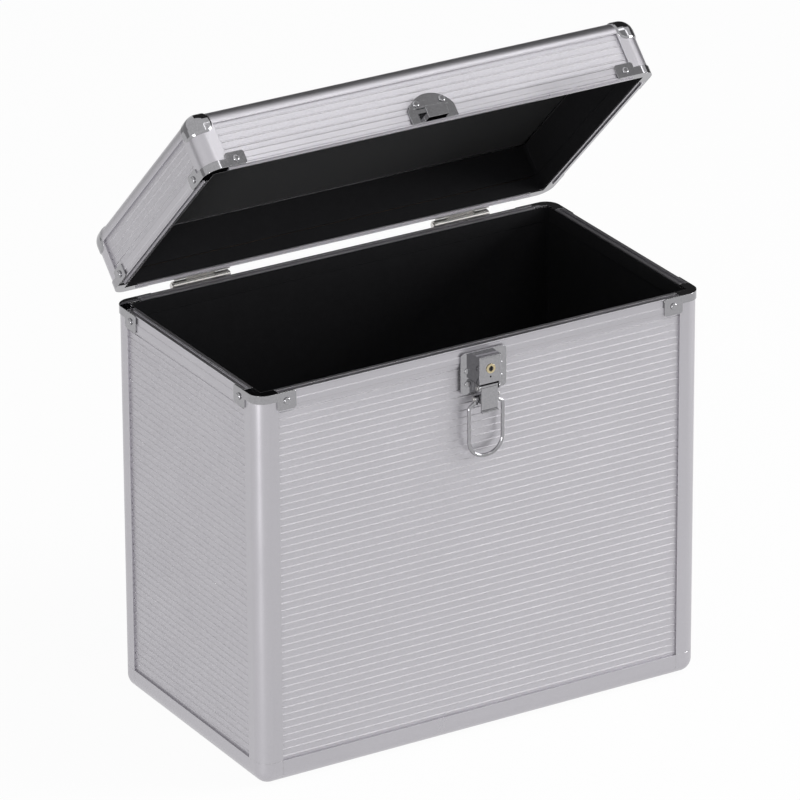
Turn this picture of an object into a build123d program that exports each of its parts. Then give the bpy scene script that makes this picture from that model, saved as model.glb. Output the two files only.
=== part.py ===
from build123d import *
from math import cos, radians, sin, sqrt
import os

# Record carrying case: an aluminium framed box with a hinged lid, shown with the lid tilted open.
# The frame: +X to the right along the front, -Y is the front with the latch, +Z is up.
# The origin lies on the floor, under the middle of the whole part with its lid open.
# All sizes are in millimetres.

# Overall sizes of the box and the lid
case_width = 352.0            # outer width of the frame along X
case_depth = 194.0            # outer depth of the frame along Y
body_height = 290.0           # from the underside of the frame to the rim plane
lid_height = 44.0             # from the rim plane to the top of the lid
foot_drop = 1.5               # how far the rubber feet stand out under the frame
middle_y = -10.0              # middle of the box along Y, in front of the origin
lid_opening = 45.0            # degrees that the lid stands open at rest
seam_gap = 0.4                # gap between the two rims when the lid is shut

# Boards, ribbed skins and lining
board_thickness = 3.2         # hardboard walls
skin_thickness = 0.8          # ribbed aluminium sheet on the boards
lining_thickness = 1.4        # padded cloth inside
rib_pitch = 5.2               # spacing of the ribs
rib_height = 0.5              # height of a rib above its sheet
rib_base = 1.3                # width of a rib at its foot
rib_slope = 55.0              # slope of the flanks of a rib in degrees
rib_margin = 0.4              # gap between the ribs and the frame beside them

# Edge profiles
edge_radius = 10.0            # outer rounding of every frame edge
profile_wall = 1.6            # wall of the edge profiles
body_flange = 17.0            # reach of a body profile from the corner, on both faces
lid_edge_flange = 11.0        # reach of the lid's top profiles down the walls
lid_top_flange = 12.0         # reach of the lid's top profiles over the top
joint_seam = 0.1              # seam between two profiles that meet
fillet_ease = 0.001           # a full rounding stays this much under its limit

# Rim profiles
body_rim_height = 13.0        # outer flange of the body's rim
lid_rim_height = 10.0         # outer flange of the lid's rim
rim_web = 2.2                 # thickness of the rim across the top of the wall
rim_inner_wall = 1.2          # inner flange of the rim
rim_inner_height = 11.5       # height of the inner flange
rim_inner_clearance = 0.1     # gap between the wall and the inner flange
rim_recess = 0.5              # how far the plain band of the rim lies below its bead
rim_lip = 1.0                 # height of the narrow lip at the rim's edge
body_bead_start = 6.0         # from the rim's edge to its bead, on the body
lid_bead_start = 4.0          # from the rim's edge to its bead, on the lid
bead_height = 5.0             # height of the bead
groove_width = 1.8            # groove in the body's rim for the lid's tongue
groove_depth = 1.2
tongue_width = 1.2            # tongue of the lid's rim
tongue_height = 1.0
groove_inset = 3.4            # middle of the groove, in from the outer face

# Corner pieces
bracket_sheet = 0.8           # chromed corner brackets
bracket_band = 6.0            # height of a bracket round the corner
bracket_tab_start = 15.3      # from the corner to the near edge of a bracket's tab
bracket_tab_end = 30.0        # from the corner to the far edge of a bracket's tab
bracket_reach = 6.9           # reach of a bracket over the rim, in from the outer face
tab_corner = 2.0              # rounding of a tab's free corners
ball_sheet = 0.8              # chromed ball corners of the lid
ball_sphere = 11.8            # radius of the sphere that cuts a ball corner's lobes

# Rivets
rivet_shank = 1.5             # shank radius of the hinge, latch and keeper rivets
rivet_head = 2.6              # head radius of those rivets
rivet_rise = 1.1              # height of those heads
tab_rivet_shank = 1.4         # shank radius of the corner bracket rivets
tab_rivet_head = 2.5          # head radius of those rivets
tab_rivet_rise = 1.3          # height of those heads

# Feet
foot_radius = 8.0
foot_inset_x = 30.0           # from the outer face of the case to the middle of a foot
foot_inset_y = 29.0
foot_edge = 0.6               # chamfer round the lower edge of a foot
foot_screw_radius = 1.5
foot_screw_head = 3.0
foot_screw_head_height = 1.6
foot_screw_depth = 2.6        # how far a foot screw goes into the board
foot_recess = 1.8             # depth of the recess for the screw head
foot_recess_clearance = 0.2

# Hinges
hinge_offset_x = 105.0        # middle of each hinge from the middle of the case
hinge_reach = 6.5             # hinge axis behind the back face
hinge_drop = 2.0              # hinge axis below the rim plane
leaf_width = 44.0
leaf_sheet = 1.4
body_leaf_height = 30.0       # lower end of the body leaf below the rim plane
lid_leaf_height = 27.0        # upper end of the lid leaf above the rim plane
knuckle_radius = 3.2
hinge_pin_radius = 1.5
hinge_fit = 0.05              # radial running clearance of the lid knuckle on the pin
lid_knuckle_width = 21.4
knuckle_gap = 0.3             # end gap between two knuckles
hinge_pin_head = 2.2
hinge_pin_head_width = 1.0
stop_width = 10.0             # width of the stop tooth and its shelf
stop_tooth_reach = 5.4        # tooth tip from the hinge axis
stop_tooth_thickness = 2.0
stop_shelf_drop = 4.6         # top of the stop shelf below the hinge axis
stop_shelf_gap = 1.8          # from the hinge axis plane to the shelf's free edge
hinge_rivet_pitch = 15.0
body_hinge_rivet_drop = 21.5  # body rivets below the rim plane
lid_hinge_rivet_rise = 19.0   # lid rivets above the rim plane

# Latch on the body
plate_width = 36.0
plate_sheet = 1.5
plate_top_drop = 4.0          # top edge of the plate below the rim plane
plate_bottom_drop = 34.0      # bottom edge of the plate below the rim plane
plate_corner = 3.0
plate_rivet_x = 13.2
plate_rivet_high = 17.0       # upper plate rivets below the rim plane
plate_rivet_low = 26.5        # lower plate rivets below the rim plane
plate_rivet_head = 2.1
plate_rivet_rise = 0.7
housing_width = 17.0
housing_top_drop = 5.5
housing_bottom_drop = 25.5
housing_depth = 9.0
housing_wall = 1.2
housing_edge = 1.0
key_drop = 14.5               # key axis below the rim plane
key_radius = 2.8
key_fit = 0.05                # radial running clearance of the key plug
key_collar_radius = 3.4       # visible collar of the key plug
key_collar_height = 0.5
key_end_gap = 0.1             # end play of the key plug
key_boss_radius = 4.6
key_boss_depth = 4.5          # length of the boss behind the housing's front wall
key_slot_width = 0.9
key_slot_length = 4.2
key_slot_depth = 3.0
cam_reach = 5.6               # cam finger from the key axis
cam_width = 2.6
cam_thickness = 1.4
witness_hole_radius = 0.7     # small hole under the key
witness_hole_drop = 20.5
lever_axis_out = 7.0          # lever pivot in front of the case's front face
lever_axis_drop = 28.8        # lever pivot below the rim plane
lever_width = 13.0
lever_sheet = 1.2
lever_barrel_radius = 2.4
lever_bottom_drop = 46.6
lever_lip = 1.6               # outward lip at the lever's lower end
lever_lip_height = 1.2
lever_cheek_back = 0.6        # gap between the lever's cheeks and the plate
lever_cheek_below = 3.2       # cheeks below the loop pivot
lever_pin_radius = 1.0
lever_pin_head = 1.6
lever_pin_head_width = 0.7
lever_fit = 0.05
ear_sheet = 1.4
ear_gap = 0.6                 # side gap between the lever and an ear
ear_radius = 2.9              # rounding of an ear about the lever pivot
loop_axis_in = 2.7            # loop pivot nearer the case than the lever pivot
loop_axis_below = 8.5         # loop pivot below the lever pivot
loop_rod_radius = 1.0
loop_fit = 0.05
loop_rod_head = 1.7
loop_rod_head_width = 0.6
loop_eye_radius = 2.2
loop_eye_width = 2.6
loop_eye_gap = 0.5            # side gap between the lever's cheek and a loop eye
loop_end_play = 0.1           # side gap between a loop eye and the head of its rod
loop_wire = 1.4               # wire radius of the loop
loop_half_width = 13.4        # middle of the loop's straight sides from the middle
loop_reach = 43.2             # from the loop pivot to the middle of the wire at its far end
loop_neck = 2.8               # the wire starts this far from the loop pivot
loop_shoulder = 6.2           # the loop is at its full width this far from its pivot
loop_shoulder_radius = 2.6
loop_end_radius = 12.5

# Keeper on the lid
keeper_width = 36.0
keeper_sheet = 1.2
keeper_bottom = 0.5           # lower edge above the rim plane
keeper_shoulder = 9.0         # where the straight sides end
keeper_top = 20.5
keeper_rivet_x = 10.2
keeper_rivet_rise = 14.4
hook_width = 16.0
hook_floor = 0.5              # underside of the hook above the rim plane
hook_floor_top = 4.2          # bearing face for the loop, above the rim plane
hook_sheet = 1.0
hook_lip_top = 9.0
hook_reach = 7.6              # front of the hook's lip, out from the lid's front face
step_width = 26.0             # raised step above the hook
step_middle = 10.9            # its middle above the rim plane
step_height = 1.4
step_rise = 0.8

# Handle on the lid
handle_pivot_x = 62.0         # middle of a mount from the middle of the lid
handle_pivot_rise = 8.0       # pivot above the lid's top sheet
mount_plate_x = 22.0
mount_plate_y = 30.0
mount_sheet = 1.6
mount_ear_width = 5.0
mount_ear_radius = 5.0
mount_screw_x = 66.0
mount_screw_y = 10.5
mount_screw_radius = 1.5
mount_screw_head = 2.8
mount_screw_rise = 1.4
handle_pin_radius = 2.0
handle_fit = 0.06
handle_pin_head = 3.4
handle_pin_head_width = 1.2
handle_arm_gap = 0.4          # side gap between a mount's ear and the handle's arm
handle_arm_width = 11.0
handle_arm_radius = 5.6       # half thickness of the arms and rounding about the pivot
handle_arm_edge = 3.5         # rounding of the arms' section
handle_reach = 33.0           # from the pivot to the middle of the grip
handle_corner = 12.0          # bend of the handle at each end of the grip
grip_half_length = 37.0       # thicker middle of the handle
grip_width = 14.0
grip_thickness = 12.4
grip_edge = 5.0
pin_end_inset = 1.0           # the handle's pins end this far inside its arms

# Values that follow from the sizes above
half_width = case_width / 2
half_depth = case_depth / 2
rim_z = foot_drop + body_height
skin_depth = profile_wall
board_depth = skin_depth + skin_thickness
inner_depth = board_depth + board_thickness
room_depth = inner_depth + lining_thickness
room_width = case_width - 2 * room_depth
room_length = case_depth - 2 * room_depth
hinge_y = half_depth + hinge_reach
half_gap = seam_gap / 2
board_half_x = half_width - edge_radius
board_half_y = half_depth - edge_radius
channel = half_gap + rim_web + rim_inner_clearance
inner_flange_depth = inner_depth + rim_inner_clearance
profile_half_x = half_width - body_flange - joint_seam
profile_half_y = half_depth - body_flange - joint_seam
tab_middle = (bracket_tab_start + bracket_tab_end) / 2
tab_x = half_width - tab_middle
tab_y = half_depth - tab_middle

# Planes of the body: their origin is the point of the rim plane in the middle of the case
floor_level = Plane(origin=(0, middle_y, 0), x_dir=(1, 0, 0), z_dir=(0, 0, 1))
body_level = Plane(origin=(0, middle_y, rim_z), x_dir=(1, 0, 0), z_dir=(0, 0, 1))
body_across = Plane(origin=(0, middle_y, rim_z), x_dir=(0, 1, 0), z_dir=(1, 0, 0))
body_facing = Plane(origin=(0, middle_y, rim_z), x_dir=(1, 0, 0), z_dir=(0, -1, 0))
body_rear = Plane(origin=(0, middle_y, rim_z), x_dir=(-1, 0, 0), z_dir=(0, 1, 0))

# The same planes of the lid, swung open about the hinge axis
tilt = radians(lid_opening)
back_dir = Vector(0, cos(tilt), -sin(tilt))
up_dir = Vector(0, sin(tilt), cos(tilt))
hinge_point = Vector(0, middle_y + hinge_y, rim_z - hinge_drop)
lid_origin = hinge_point - back_dir * hinge_y + up_dir * hinge_drop
lid_level = Plane(origin=lid_origin, x_dir=(1, 0, 0), z_dir=up_dir)
lid_across = Plane(origin=lid_origin, x_dir=back_dir, z_dir=(1, 0, 0))
lid_facing = Plane(origin=lid_origin, x_dir=(1, 0, 0), z_dir=back_dir * -1)
lid_rear = Plane(origin=lid_origin, x_dir=(-1, 0, 0), z_dir=back_dir)

# Places of the rivets and screws, on the outer faces of the body and the lid
plate_spots = [(s * plate_rivet_x, -d) for s in (-1, 1) for d in (plate_rivet_high, plate_rivet_low)]
hinge_columns = [s * hinge_offset_x + k * hinge_rivet_pitch for s in (-1, 1) for k in (-1, 0, 1)]
body_hinge_spots = [(x, -body_hinge_rivet_drop) for x in hinge_columns]
lid_hinge_spots = [(x, lid_hinge_rivet_rise) for x in hinge_columns]
keeper_spots = [(-keeper_rivet_x, keeper_rivet_rise), (keeper_rivet_x, keeper_rivet_rise)]
mount_spots = [(s * mount_screw_x, e * mount_screw_y) for s in (-1, 1) for e in (-1, 1)]
foot_x = half_width - foot_inset_x
foot_y = half_depth - foot_inset_y


def edge_section(x0, y0, along_x, along_y, reach_x, reach_y):
    """Draw the L section of an edge profile with its rounded corner at (x0, y0)."""
    inner = edge_radius - profile_wall
    turn = edge_radius - edge_radius * sqrt(0.5)
    inner_turn = edge_radius - inner * sqrt(0.5)

    def at(u, v):
        return (x0 + along_x * u, y0 + along_y * v)

    with BuildLine() as outline:
        Line(at(0, reach_y), at(0, edge_radius))
        ThreePointArc(at(0, edge_radius), at(turn, turn), at(edge_radius, 0))
        Polyline(at(edge_radius, 0), at(reach_x, 0), at(reach_x, profile_wall), at(edge_radius, profile_wall))
        ThreePointArc(at(edge_radius, profile_wall), at(inner_turn, inner_turn), at(profile_wall, edge_radius))
        Polyline(at(profile_wall, edge_radius), at(profile_wall, reach_y), at(0, reach_y))
    make_face(outline.line)


def rim_section(face, side, up, height, bead_start, has_tongue):
    """Draw a rim profile at the wall whose outer face is at side * face.

    up is 1 on the lid, where the profile rises from the seam, and -1 on the body."""

    def at(depth, rise):
        return (side * (face - depth), up * (half_gap + rise))

    inner_face = inner_flange_depth + rim_inner_wall
    half_key = (tongue_width if has_tongue else groove_width) / 2
    key_rise = -tongue_height if has_tongue else groove_depth
    bead_end = bead_start + bead_height
    with BuildLine() as outline:
        Polyline(
            at(0, 0),
            at(0, rim_lip),
            at(rim_recess, rim_lip + rim_recess),
            at(rim_recess, bead_start),
            at(0, bead_start + rim_recess),
            at(0, bead_end - rim_recess),
            at(rim_recess, bead_end),
            at(rim_recess, height),
            at(profile_wall, height),
            at(profile_wall, rim_web),
            at(inner_flange_depth, rim_web),
            at(inner_flange_depth, rim_inner_height),
            at(inner_face, rim_inner_height),
            at(inner_face, 0),
            at(groove_inset + half_key, 0),
            at(groove_inset + half_key, key_rise),
            at(groove_inset - half_key, key_rise),
            at(groove_inset - half_key, 0),
            close=True,
        )
    make_face(outline.line)


def wall_sheet(plane, half_length, low, high, thickness, spots=()):
    """Extrude a flat wall sheet from its outer face inwards, with holes for the given rivets."""
    with BuildSketch(plane) as sheet:
        with Locations((0, (low + high) / 2)):
            Rectangle(2 * half_length, high - low)
        if spots:
            with Locations(*spots):
                Circle(rivet_shank, mode=Mode.SUBTRACT)
    extrude(sheet.sketch, amount=-thickness)


def ribs(plane, face, side, low, high, half_length):
    """Add ribs on the face at side * face between two heights; the plane cuts across them."""
    count = int((high - low - rib_base) / rib_pitch) + 1
    with BuildSketch(plane) as sections:
        with Locations((side * (face + rib_height / 2), (low + high) / 2)):
            with GridLocations(0, rib_pitch, 1, count):
                Trapezoid(rib_base, rib_height, rib_slope, rotation=-90 * side)
    extrude(sections.sketch, amount=half_length, both=True)


def rivet_holes(plane, spots, radius, depth):
    """Drill holes that reach the given depth to both sides of the plane."""
    with BuildSketch(plane) as holes:
        with Locations(*spots):
            Circle(radius)
    extrude(holes.sketch, amount=depth, both=True, mode=Mode.SUBTRACT)


def rivets(plane, spots, shank, head, rise, length):
    """Add round-headed rivets whose heads sit on the plane and whose shanks go into it."""
    with BuildSketch(plane) as heads:
        with Locations(*spots):
            Circle(head)
    extrude(heads.sketch, amount=rise)
    made = BuildPart._get_context()
    fillet(made.edges().group_by(Axis(plane.origin, plane.z_dir))[-1], radius=0.8 * rise)
    with BuildSketch(plane) as shanks:
        with Locations(*spots):
            Circle(shank)
    extrude(shanks.sketch, amount=-length)


def corner_bracket(level, facing, across, up, tab_height):
    """Add the front left rim bracket: band round the corner, two tabs, flange over the rim."""
    edge = up * half_gap
    tab_length = bracket_tab_end - bracket_tab_start
    tab_center = edge + up * tab_height / 2
    band_arm = bracket_tab_start + tab_corner
    bracket_width = case_width + 2 * bracket_sheet
    bracket_depth = case_depth + 2 * bracket_sheet
    with BuildSketch(level.offset(edge)) as band:
        RectangleRounded(bracket_width, bracket_depth, edge_radius + bracket_sheet)
        RectangleRounded(case_width, case_depth, edge_radius, mode=Mode.SUBTRACT)
        with Locations((-half_width, -half_depth)):
            Rectangle(2 * band_arm, 2 * band_arm, mode=Mode.INTERSECT)
    extrude(band.sketch, amount=up * bracket_band)
    with BuildSketch(facing.offset(half_depth)) as front_tab:
        with Locations((-tab_x, tab_center)):
            RectangleRounded(tab_length, tab_height, tab_corner)
            Circle(tab_rivet_shank, mode=Mode.SUBTRACT)
    extrude(front_tab.sketch, amount=bracket_sheet)
    with BuildSketch(across.offset(-half_width)) as side_tab:
        with Locations((-tab_y, tab_center)):
            RectangleRounded(tab_length, tab_height, tab_corner)
            Circle(tab_rivet_shank, mode=Mode.SUBTRACT)
    extrude(side_tab.sketch, amount=-bracket_sheet)
    with BuildSketch(level.offset(edge)) as flange:
        RectangleRounded(case_width, case_depth, edge_radius)
        Rectangle(case_width - 2 * bracket_reach, case_depth - 2 * bracket_reach, mode=Mode.SUBTRACT)
        with Locations((-half_width, -half_depth)):
            Rectangle(2 * body_flange, 2 * body_flange, mode=Mode.INTERSECT)
    extrude(flange.sketch, amount=up * bracket_sheet)


def tab_rivets(facing, across, up, tab_height):
    """Add the two rivets of the front right rim bracket."""
    height = up * (half_gap + tab_height / 2)
    reach = bracket_sheet + profile_wall
    front = facing.offset(half_depth + bracket_sheet)
    side = across.offset(half_width + bracket_sheet)
    rivets(front, [(tab_x, height)], tab_rivet_shank, tab_rivet_head, tab_rivet_rise, reach)
    rivets(side, [(-tab_y, height)], tab_rivet_shank, tab_rivet_head, tab_rivet_rise, reach)


def rim_long(across, plane, side, up, height, bead_start, has_tongue):
    """Add a front or back rim profile: plane is the rim's outer face, side is -1 at the front."""
    with BuildSketch(across) as section:
        rim_section(half_depth, side, up, height, bead_start, has_tongue)
    extrude(section.sketch, amount=profile_half_x, both=True)
    low = half_gap + bracket_sheet + joint_seam
    with BuildSketch(plane.offset(-inner_flange_depth)) as flange:
        with Locations((0, up * (low + half_gap + rim_inner_height) / 2)):
            Rectangle(2 * (half_width - inner_flange_depth), half_gap + rim_inner_height - low)
    extrude(flange.sketch, amount=-rim_inner_wall)
    tab_height = up * (half_gap + height / 2)
    rivet_holes(plane, [(-tab_x, tab_height), (tab_x, tab_height)], tab_rivet_shank, profile_wall)


def rim_short(facing, across, up, height, bead_start, has_tongue):
    """Add the rim profile on the right side."""
    with BuildSketch(facing) as section:
        rim_section(half_width, 1, up, height, bead_start, has_tongue)
    extrude(section.sketch, amount=profile_half_y, both=True)
    low = half_gap + bracket_sheet + joint_seam
    flange_half = half_depth - inner_flange_depth - rim_inner_wall
    with BuildSketch(across.offset(half_width - inner_flange_depth)) as flange:
        with Locations((0, up * (low + half_gap + rim_inner_height) / 2)):
            Rectangle(2 * flange_half, half_gap + rim_inner_height - low)
    extrude(flange.sketch, amount=-rim_inner_wall)
    tab_height = up * (half_gap + height / 2)
    spots = [(-tab_y, tab_height), (tab_y, tab_height)]
    rivet_holes(across.offset(half_width), spots, tab_rivet_shank, profile_wall)


# ---- Body walls: hardboard with a ribbed aluminium skin ----
wall_low = edge_radius - body_height
wall_high = -channel
rib_low = body_flange + rib_margin - body_height
rib_high = -(half_gap + body_rim_height + rib_margin)
front_rib_half = half_width - body_flange - rib_margin
side_rib_half = half_depth - body_flange - rib_margin
skin_face_y = half_depth - skin_depth
skin_face_x = half_width - skin_depth
board_face_y = half_depth - board_depth
board_face_x = half_width - board_depth
skin_drill = skin_thickness + rib_height

with BuildPart() as body_front_board:
    face = body_facing.offset(board_face_y)
    wall_sheet(face, board_half_x, wall_low, wall_high, board_thickness, plate_spots)
body_front_board.part.label = "body_front_board"

with BuildPart() as body_back_board:
    face = body_rear.offset(board_face_y)
    wall_sheet(face, board_half_x, wall_low, wall_high, board_thickness, body_hinge_spots)
body_back_board.part.label = "body_back_board"

with BuildPart() as body_side_boards:
    wall_sheet(body_across.offset(board_face_x), board_half_y, wall_low, wall_high, board_thickness)
    mirror(about=Plane.YZ)
body_side_boards.part.label = "body_side_boards"

with BuildPart() as body_front_skin:
    wall_sheet(body_facing.offset(skin_face_y), board_half_x, wall_low, wall_high, skin_thickness)
    ribs(body_across, skin_face_y, -1, rib_low, rib_high, front_rib_half)
    rivet_holes(body_facing.offset(skin_face_y), plate_spots, rivet_shank, skin_drill)
body_front_skin.part.label = "body_front_skin"

with BuildPart() as body_back_skin:
    wall_sheet(body_rear.offset(skin_face_y), board_half_x, wall_low, wall_high, skin_thickness)
    ribs(body_across, skin_face_y, 1, rib_low, rib_high, front_rib_half)
    rivet_holes(body_rear.offset(skin_face_y), body_hinge_spots, rivet_shank, skin_drill)
body_back_skin.part.label = "body_back_skin"

with BuildPart() as body_side_skins:
    wall_sheet(body_across.offset(skin_face_x), board_half_y, wall_low, wall_high, skin_thickness)
    ribs(body_facing, skin_face_x, 1, rib_low, rib_high, side_rib_half)
    mirror(about=Plane.YZ)
body_side_skins.part.label = "body_side_skins"

floor_face = profile_wall - body_height
floor_top = inner_depth - body_height
with BuildPart() as body_bottom_board:
    with BuildSketch(body_level.offset(floor_face)):
        Rectangle(2 * board_half_x, 2 * board_half_y)
    extrude(amount=floor_top - floor_face)
    with BuildSketch(body_level.offset(floor_face)):
        with GridLocations(2 * foot_x, 2 * foot_y, 2, 2):
            Circle(foot_screw_radius)
    extrude(amount=foot_screw_depth, mode=Mode.SUBTRACT)
body_bottom_board.part.label = "body_bottom_board"

# ---- Body lining: one wrap round the walls and a sheet on the floor ----
with BuildPart() as body_wall_lining:
    with BuildSketch(body_level.offset(floor_top)):
        Rectangle(case_width - 2 * inner_depth, case_depth - 2 * inner_depth)
        Rectangle(room_width, room_length, mode=Mode.SUBTRACT)
    extrude(amount=-(half_gap + rim_inner_height) - floor_top)
body_wall_lining.part.label = "body_wall_lining"

with BuildPart() as body_floor_lining:
    with BuildSketch(body_level.offset(floor_top)):
        Rectangle(room_width, room_length)
    extrude(amount=lining_thickness)
body_floor_lining.part.label = "body_floor_lining"

# ---- Body frame: uprights, base profiles, base corners and rims ----
with BuildPart() as body_corner_profiles:
    with BuildSketch(body_level.offset(body_flange + joint_seam - body_height)):
        edge_section(-half_width, -half_depth, 1, 1, body_flange, body_flange)
        mirror(about=Plane.YZ)
        mirror(about=Plane.XZ)
    extrude(amount=body_height - body_flange - joint_seam - half_gap - bracket_sheet)
body_corner_profiles.part.label = "body_corner_profiles"

with BuildPart() as body_base_profiles_long:
    with BuildSketch(body_across):
        edge_section(-half_depth, -body_height, 1, 1, body_flange, body_flange)
        edge_section(half_depth, -body_height, -1, 1, body_flange, body_flange)
    extrude(amount=profile_half_x, both=True)
body_base_profiles_long.part.label = "body_base_profiles_long"

with BuildPart() as body_base_profiles_short:
    with BuildSketch(body_facing):
        edge_section(-half_width, -body_height, 1, 1, body_flange, body_flange)
        edge_section(half_width, -body_height, -1, 1, body_flange, body_flange)
    extrude(amount=profile_half_y, both=True)
body_base_profiles_short.part.label = "body_base_profiles_short"

cap_inner_radius = edge_radius - profile_wall
with BuildPart() as cap_core:
    with BuildSketch(body_level.offset(profile_wall - body_height)):
        RectangleRounded(case_width - 2 * profile_wall, case_depth - 2 * profile_wall, cap_inner_radius)
    extrude(amount=2 * body_flange)
    fillet(cap_core.faces().sort_by(Axis.Z)[0].edges(), radius=cap_inner_radius - fillet_ease)

with BuildPart() as base_corner_caps:
    with BuildSketch(body_level.offset(-body_height)):
        RectangleRounded(case_width, case_depth, edge_radius)
    extrude(amount=2 * body_flange)
    fillet(base_corner_caps.faces().sort_by(Axis.Z)[0].edges(), radius=edge_radius - fillet_ease)
    add(cap_core.part, mode=Mode.SUBTRACT)
    with BuildSketch(body_level.offset(-body_height)):
        with GridLocations(case_width - body_flange, case_depth - body_flange, 2, 2):
            Rectangle(body_flange, body_flange)
    extrude(amount=body_flange, mode=Mode.INTERSECT)
base_corner_caps.part.label = "base_corner_caps"

with BuildPart() as body_rim_front:
    rim_long(body_across, body_facing.offset(half_depth), -1, -1, body_rim_height, body_bead_start, False)
body_rim_front.part.label = "body_rim_front"

with BuildPart() as body_rim_back:
    rim_long(body_across, body_rear.offset(half_depth), 1, -1, body_rim_height, body_bead_start, False)
body_rim_back.part.label = "body_rim_back"

with BuildPart() as body_rim_sides:
    rim_short(body_facing, body_across, -1, body_rim_height, body_bead_start, False)
    mirror(about=Plane.YZ)
body_rim_sides.part.label = "body_rim_sides"

with BuildPart() as body_rim_brackets:
    corner_bracket(body_level, body_facing, body_across, -1, body_rim_height)
    mirror(about=Plane.YZ)
    mirror(about=body_rear)
body_rim_brackets.part.label = "body_rim_brackets"

with BuildPart() as body_bracket_rivets:
    tab_rivets(body_facing, body_across, -1, body_rim_height)
    mirror(about=Plane.YZ)
    mirror(about=body_rear)
body_bracket_rivets.part.label = "body_bracket_rivets"

# ---- Feet: rubber discs, each with a sunk screw ----
foot_height = foot_drop + profile_wall
with BuildPart() as feet:
    with BuildSketch(floor_level):
        with GridLocations(2 * foot_x, 2 * foot_y, 2, 2):
            Circle(foot_radius)
    extrude(amount=foot_height)
    chamfer(feet.edges().group_by(Axis.Z)[0], length=foot_edge)
    with BuildSketch(floor_level):
        with GridLocations(2 * foot_x, 2 * foot_y, 2, 2):
            Circle(foot_screw_head + foot_recess_clearance)
    extrude(amount=foot_recess, mode=Mode.SUBTRACT)
    with BuildSketch(floor_level):
        with GridLocations(2 * foot_x, 2 * foot_y, 2, 2):
            Circle(foot_screw_radius)
    extrude(amount=foot_height, mode=Mode.SUBTRACT)
feet.part.label = "feet"

with BuildPart() as foot_screws:
    with BuildSketch(floor_level.offset(foot_recess)):
        with GridLocations(2 * foot_x, 2 * foot_y, 2, 2):
            Circle(foot_screw_head)
    extrude(amount=-foot_screw_head_height)
    fillet(foot_screws.edges().group_by(Axis.Z)[0], radius=foot_screw_head_height / 2)
    with BuildSketch(floor_level.offset(foot_recess)):
        with GridLocations(2 * foot_x, 2 * foot_y, 2, 2):
            Circle(foot_screw_radius)
    extrude(amount=foot_height + foot_screw_depth - foot_recess)
foot_screws.part.label = "foot_screws"

# ---- Hinges: two stop hinges on the back ----
outer_knuckle = lid_knuckle_width / 2 + knuckle_gap
outer_knuckle_length = leaf_width / 2 - outer_knuckle
body_leaf_end = leaf_sheet - knuckle_radius - hinge_drop
body_leaf_span = body_leaf_end + body_leaf_height
shelf_top = -hinge_drop - stop_shelf_drop
leaf_face = half_depth + leaf_sheet
with BuildPart() as hinge_body_leaves:
    with BuildSketch(body_across.offset(hinge_offset_x)):
        with Locations((half_depth, -body_leaf_height)):
            Rectangle(leaf_sheet, body_leaf_span, align=(Align.MIN, Align.MIN))
    extrude(amount=leaf_width / 2, both=True)
    for way in (-1, 1):
        with BuildSketch(body_across.offset(hinge_offset_x + way * outer_knuckle)):
            with Locations((hinge_y, -hinge_drop)):
                Circle(knuckle_radius)
            with Locations((half_depth, body_leaf_end)):
                Rectangle(hinge_reach, leaf_sheet, align=(Align.MIN, Align.MAX))
            with Locations((hinge_y, -hinge_drop)):
                Circle(hinge_pin_radius, mode=Mode.SUBTRACT)
        extrude(amount=way * outer_knuckle_length)
    with BuildSketch(body_across.offset(hinge_offset_x)):
        with Locations((half_depth, shelf_top)):
            Rectangle(hinge_reach - stop_shelf_gap, leaf_sheet, align=(Align.MIN, Align.MAX))
    extrude(amount=stop_width / 2, both=True)
    mirror(about=Plane.YZ)
    rivet_holes(body_rear.offset(leaf_face), body_hinge_spots, rivet_shank, leaf_sheet)
hinge_body_leaves.part.label = "hinge_body_leaves"

lid_leaf_start = knuckle_radius - hinge_drop - leaf_sheet
with BuildPart() as hinge_lid_leaves:
    with BuildSketch(lid_across.offset(hinge_offset_x)):
        with Locations((half_depth, lid_leaf_start)):
            Rectangle(leaf_sheet, lid_leaf_height - lid_leaf_start, align=(Align.MIN, Align.MIN))
    extrude(amount=leaf_width / 2, both=True)
    with BuildSketch(lid_across.offset(hinge_offset_x)):
        with Locations((hinge_y, -hinge_drop)):
            Circle(knuckle_radius)
        with Locations((half_depth, lid_leaf_start)):
            Rectangle(hinge_reach, leaf_sheet, align=(Align.MIN, Align.MIN))
    extrude(amount=lid_knuckle_width / 2, both=True)
    with BuildSketch(lid_across.offset(hinge_offset_x)):
        with Locations((hinge_y, -hinge_drop)):
            Rectangle(stop_tooth_reach, stop_tooth_thickness, align=(Align.MIN, Align.CENTER))
    extrude(amount=stop_width / 2, both=True)
    with BuildSketch(lid_across.offset(hinge_offset_x)):
        with Locations((hinge_y, -hinge_drop)):
            Circle(hinge_pin_radius + hinge_fit)
    extrude(amount=lid_knuckle_width, both=True, mode=Mode.SUBTRACT)
    mirror(about=Plane.YZ)
    rivet_holes(lid_rear.offset(leaf_face), lid_hinge_spots, rivet_shank, leaf_sheet)
hinge_lid_leaves.part.label = "hinge_lid_leaves"

with BuildPart() as hinge_pins:
    with BuildSketch(body_across.offset(hinge_offset_x)):
        with Locations((hinge_y, -hinge_drop)):
            Circle(hinge_pin_radius)
    extrude(amount=leaf_width / 2, both=True)
    for way in (-1, 1):
        with BuildSketch(body_across.offset(hinge_offset_x + way * leaf_width / 2)):
            with Locations((hinge_y, -hinge_drop)):
                Circle(hinge_pin_head)
        extrude(amount=way * hinge_pin_head_width)
    mirror(about=Plane.YZ)
hinge_pins.part.label = "hinge_pins"

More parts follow.
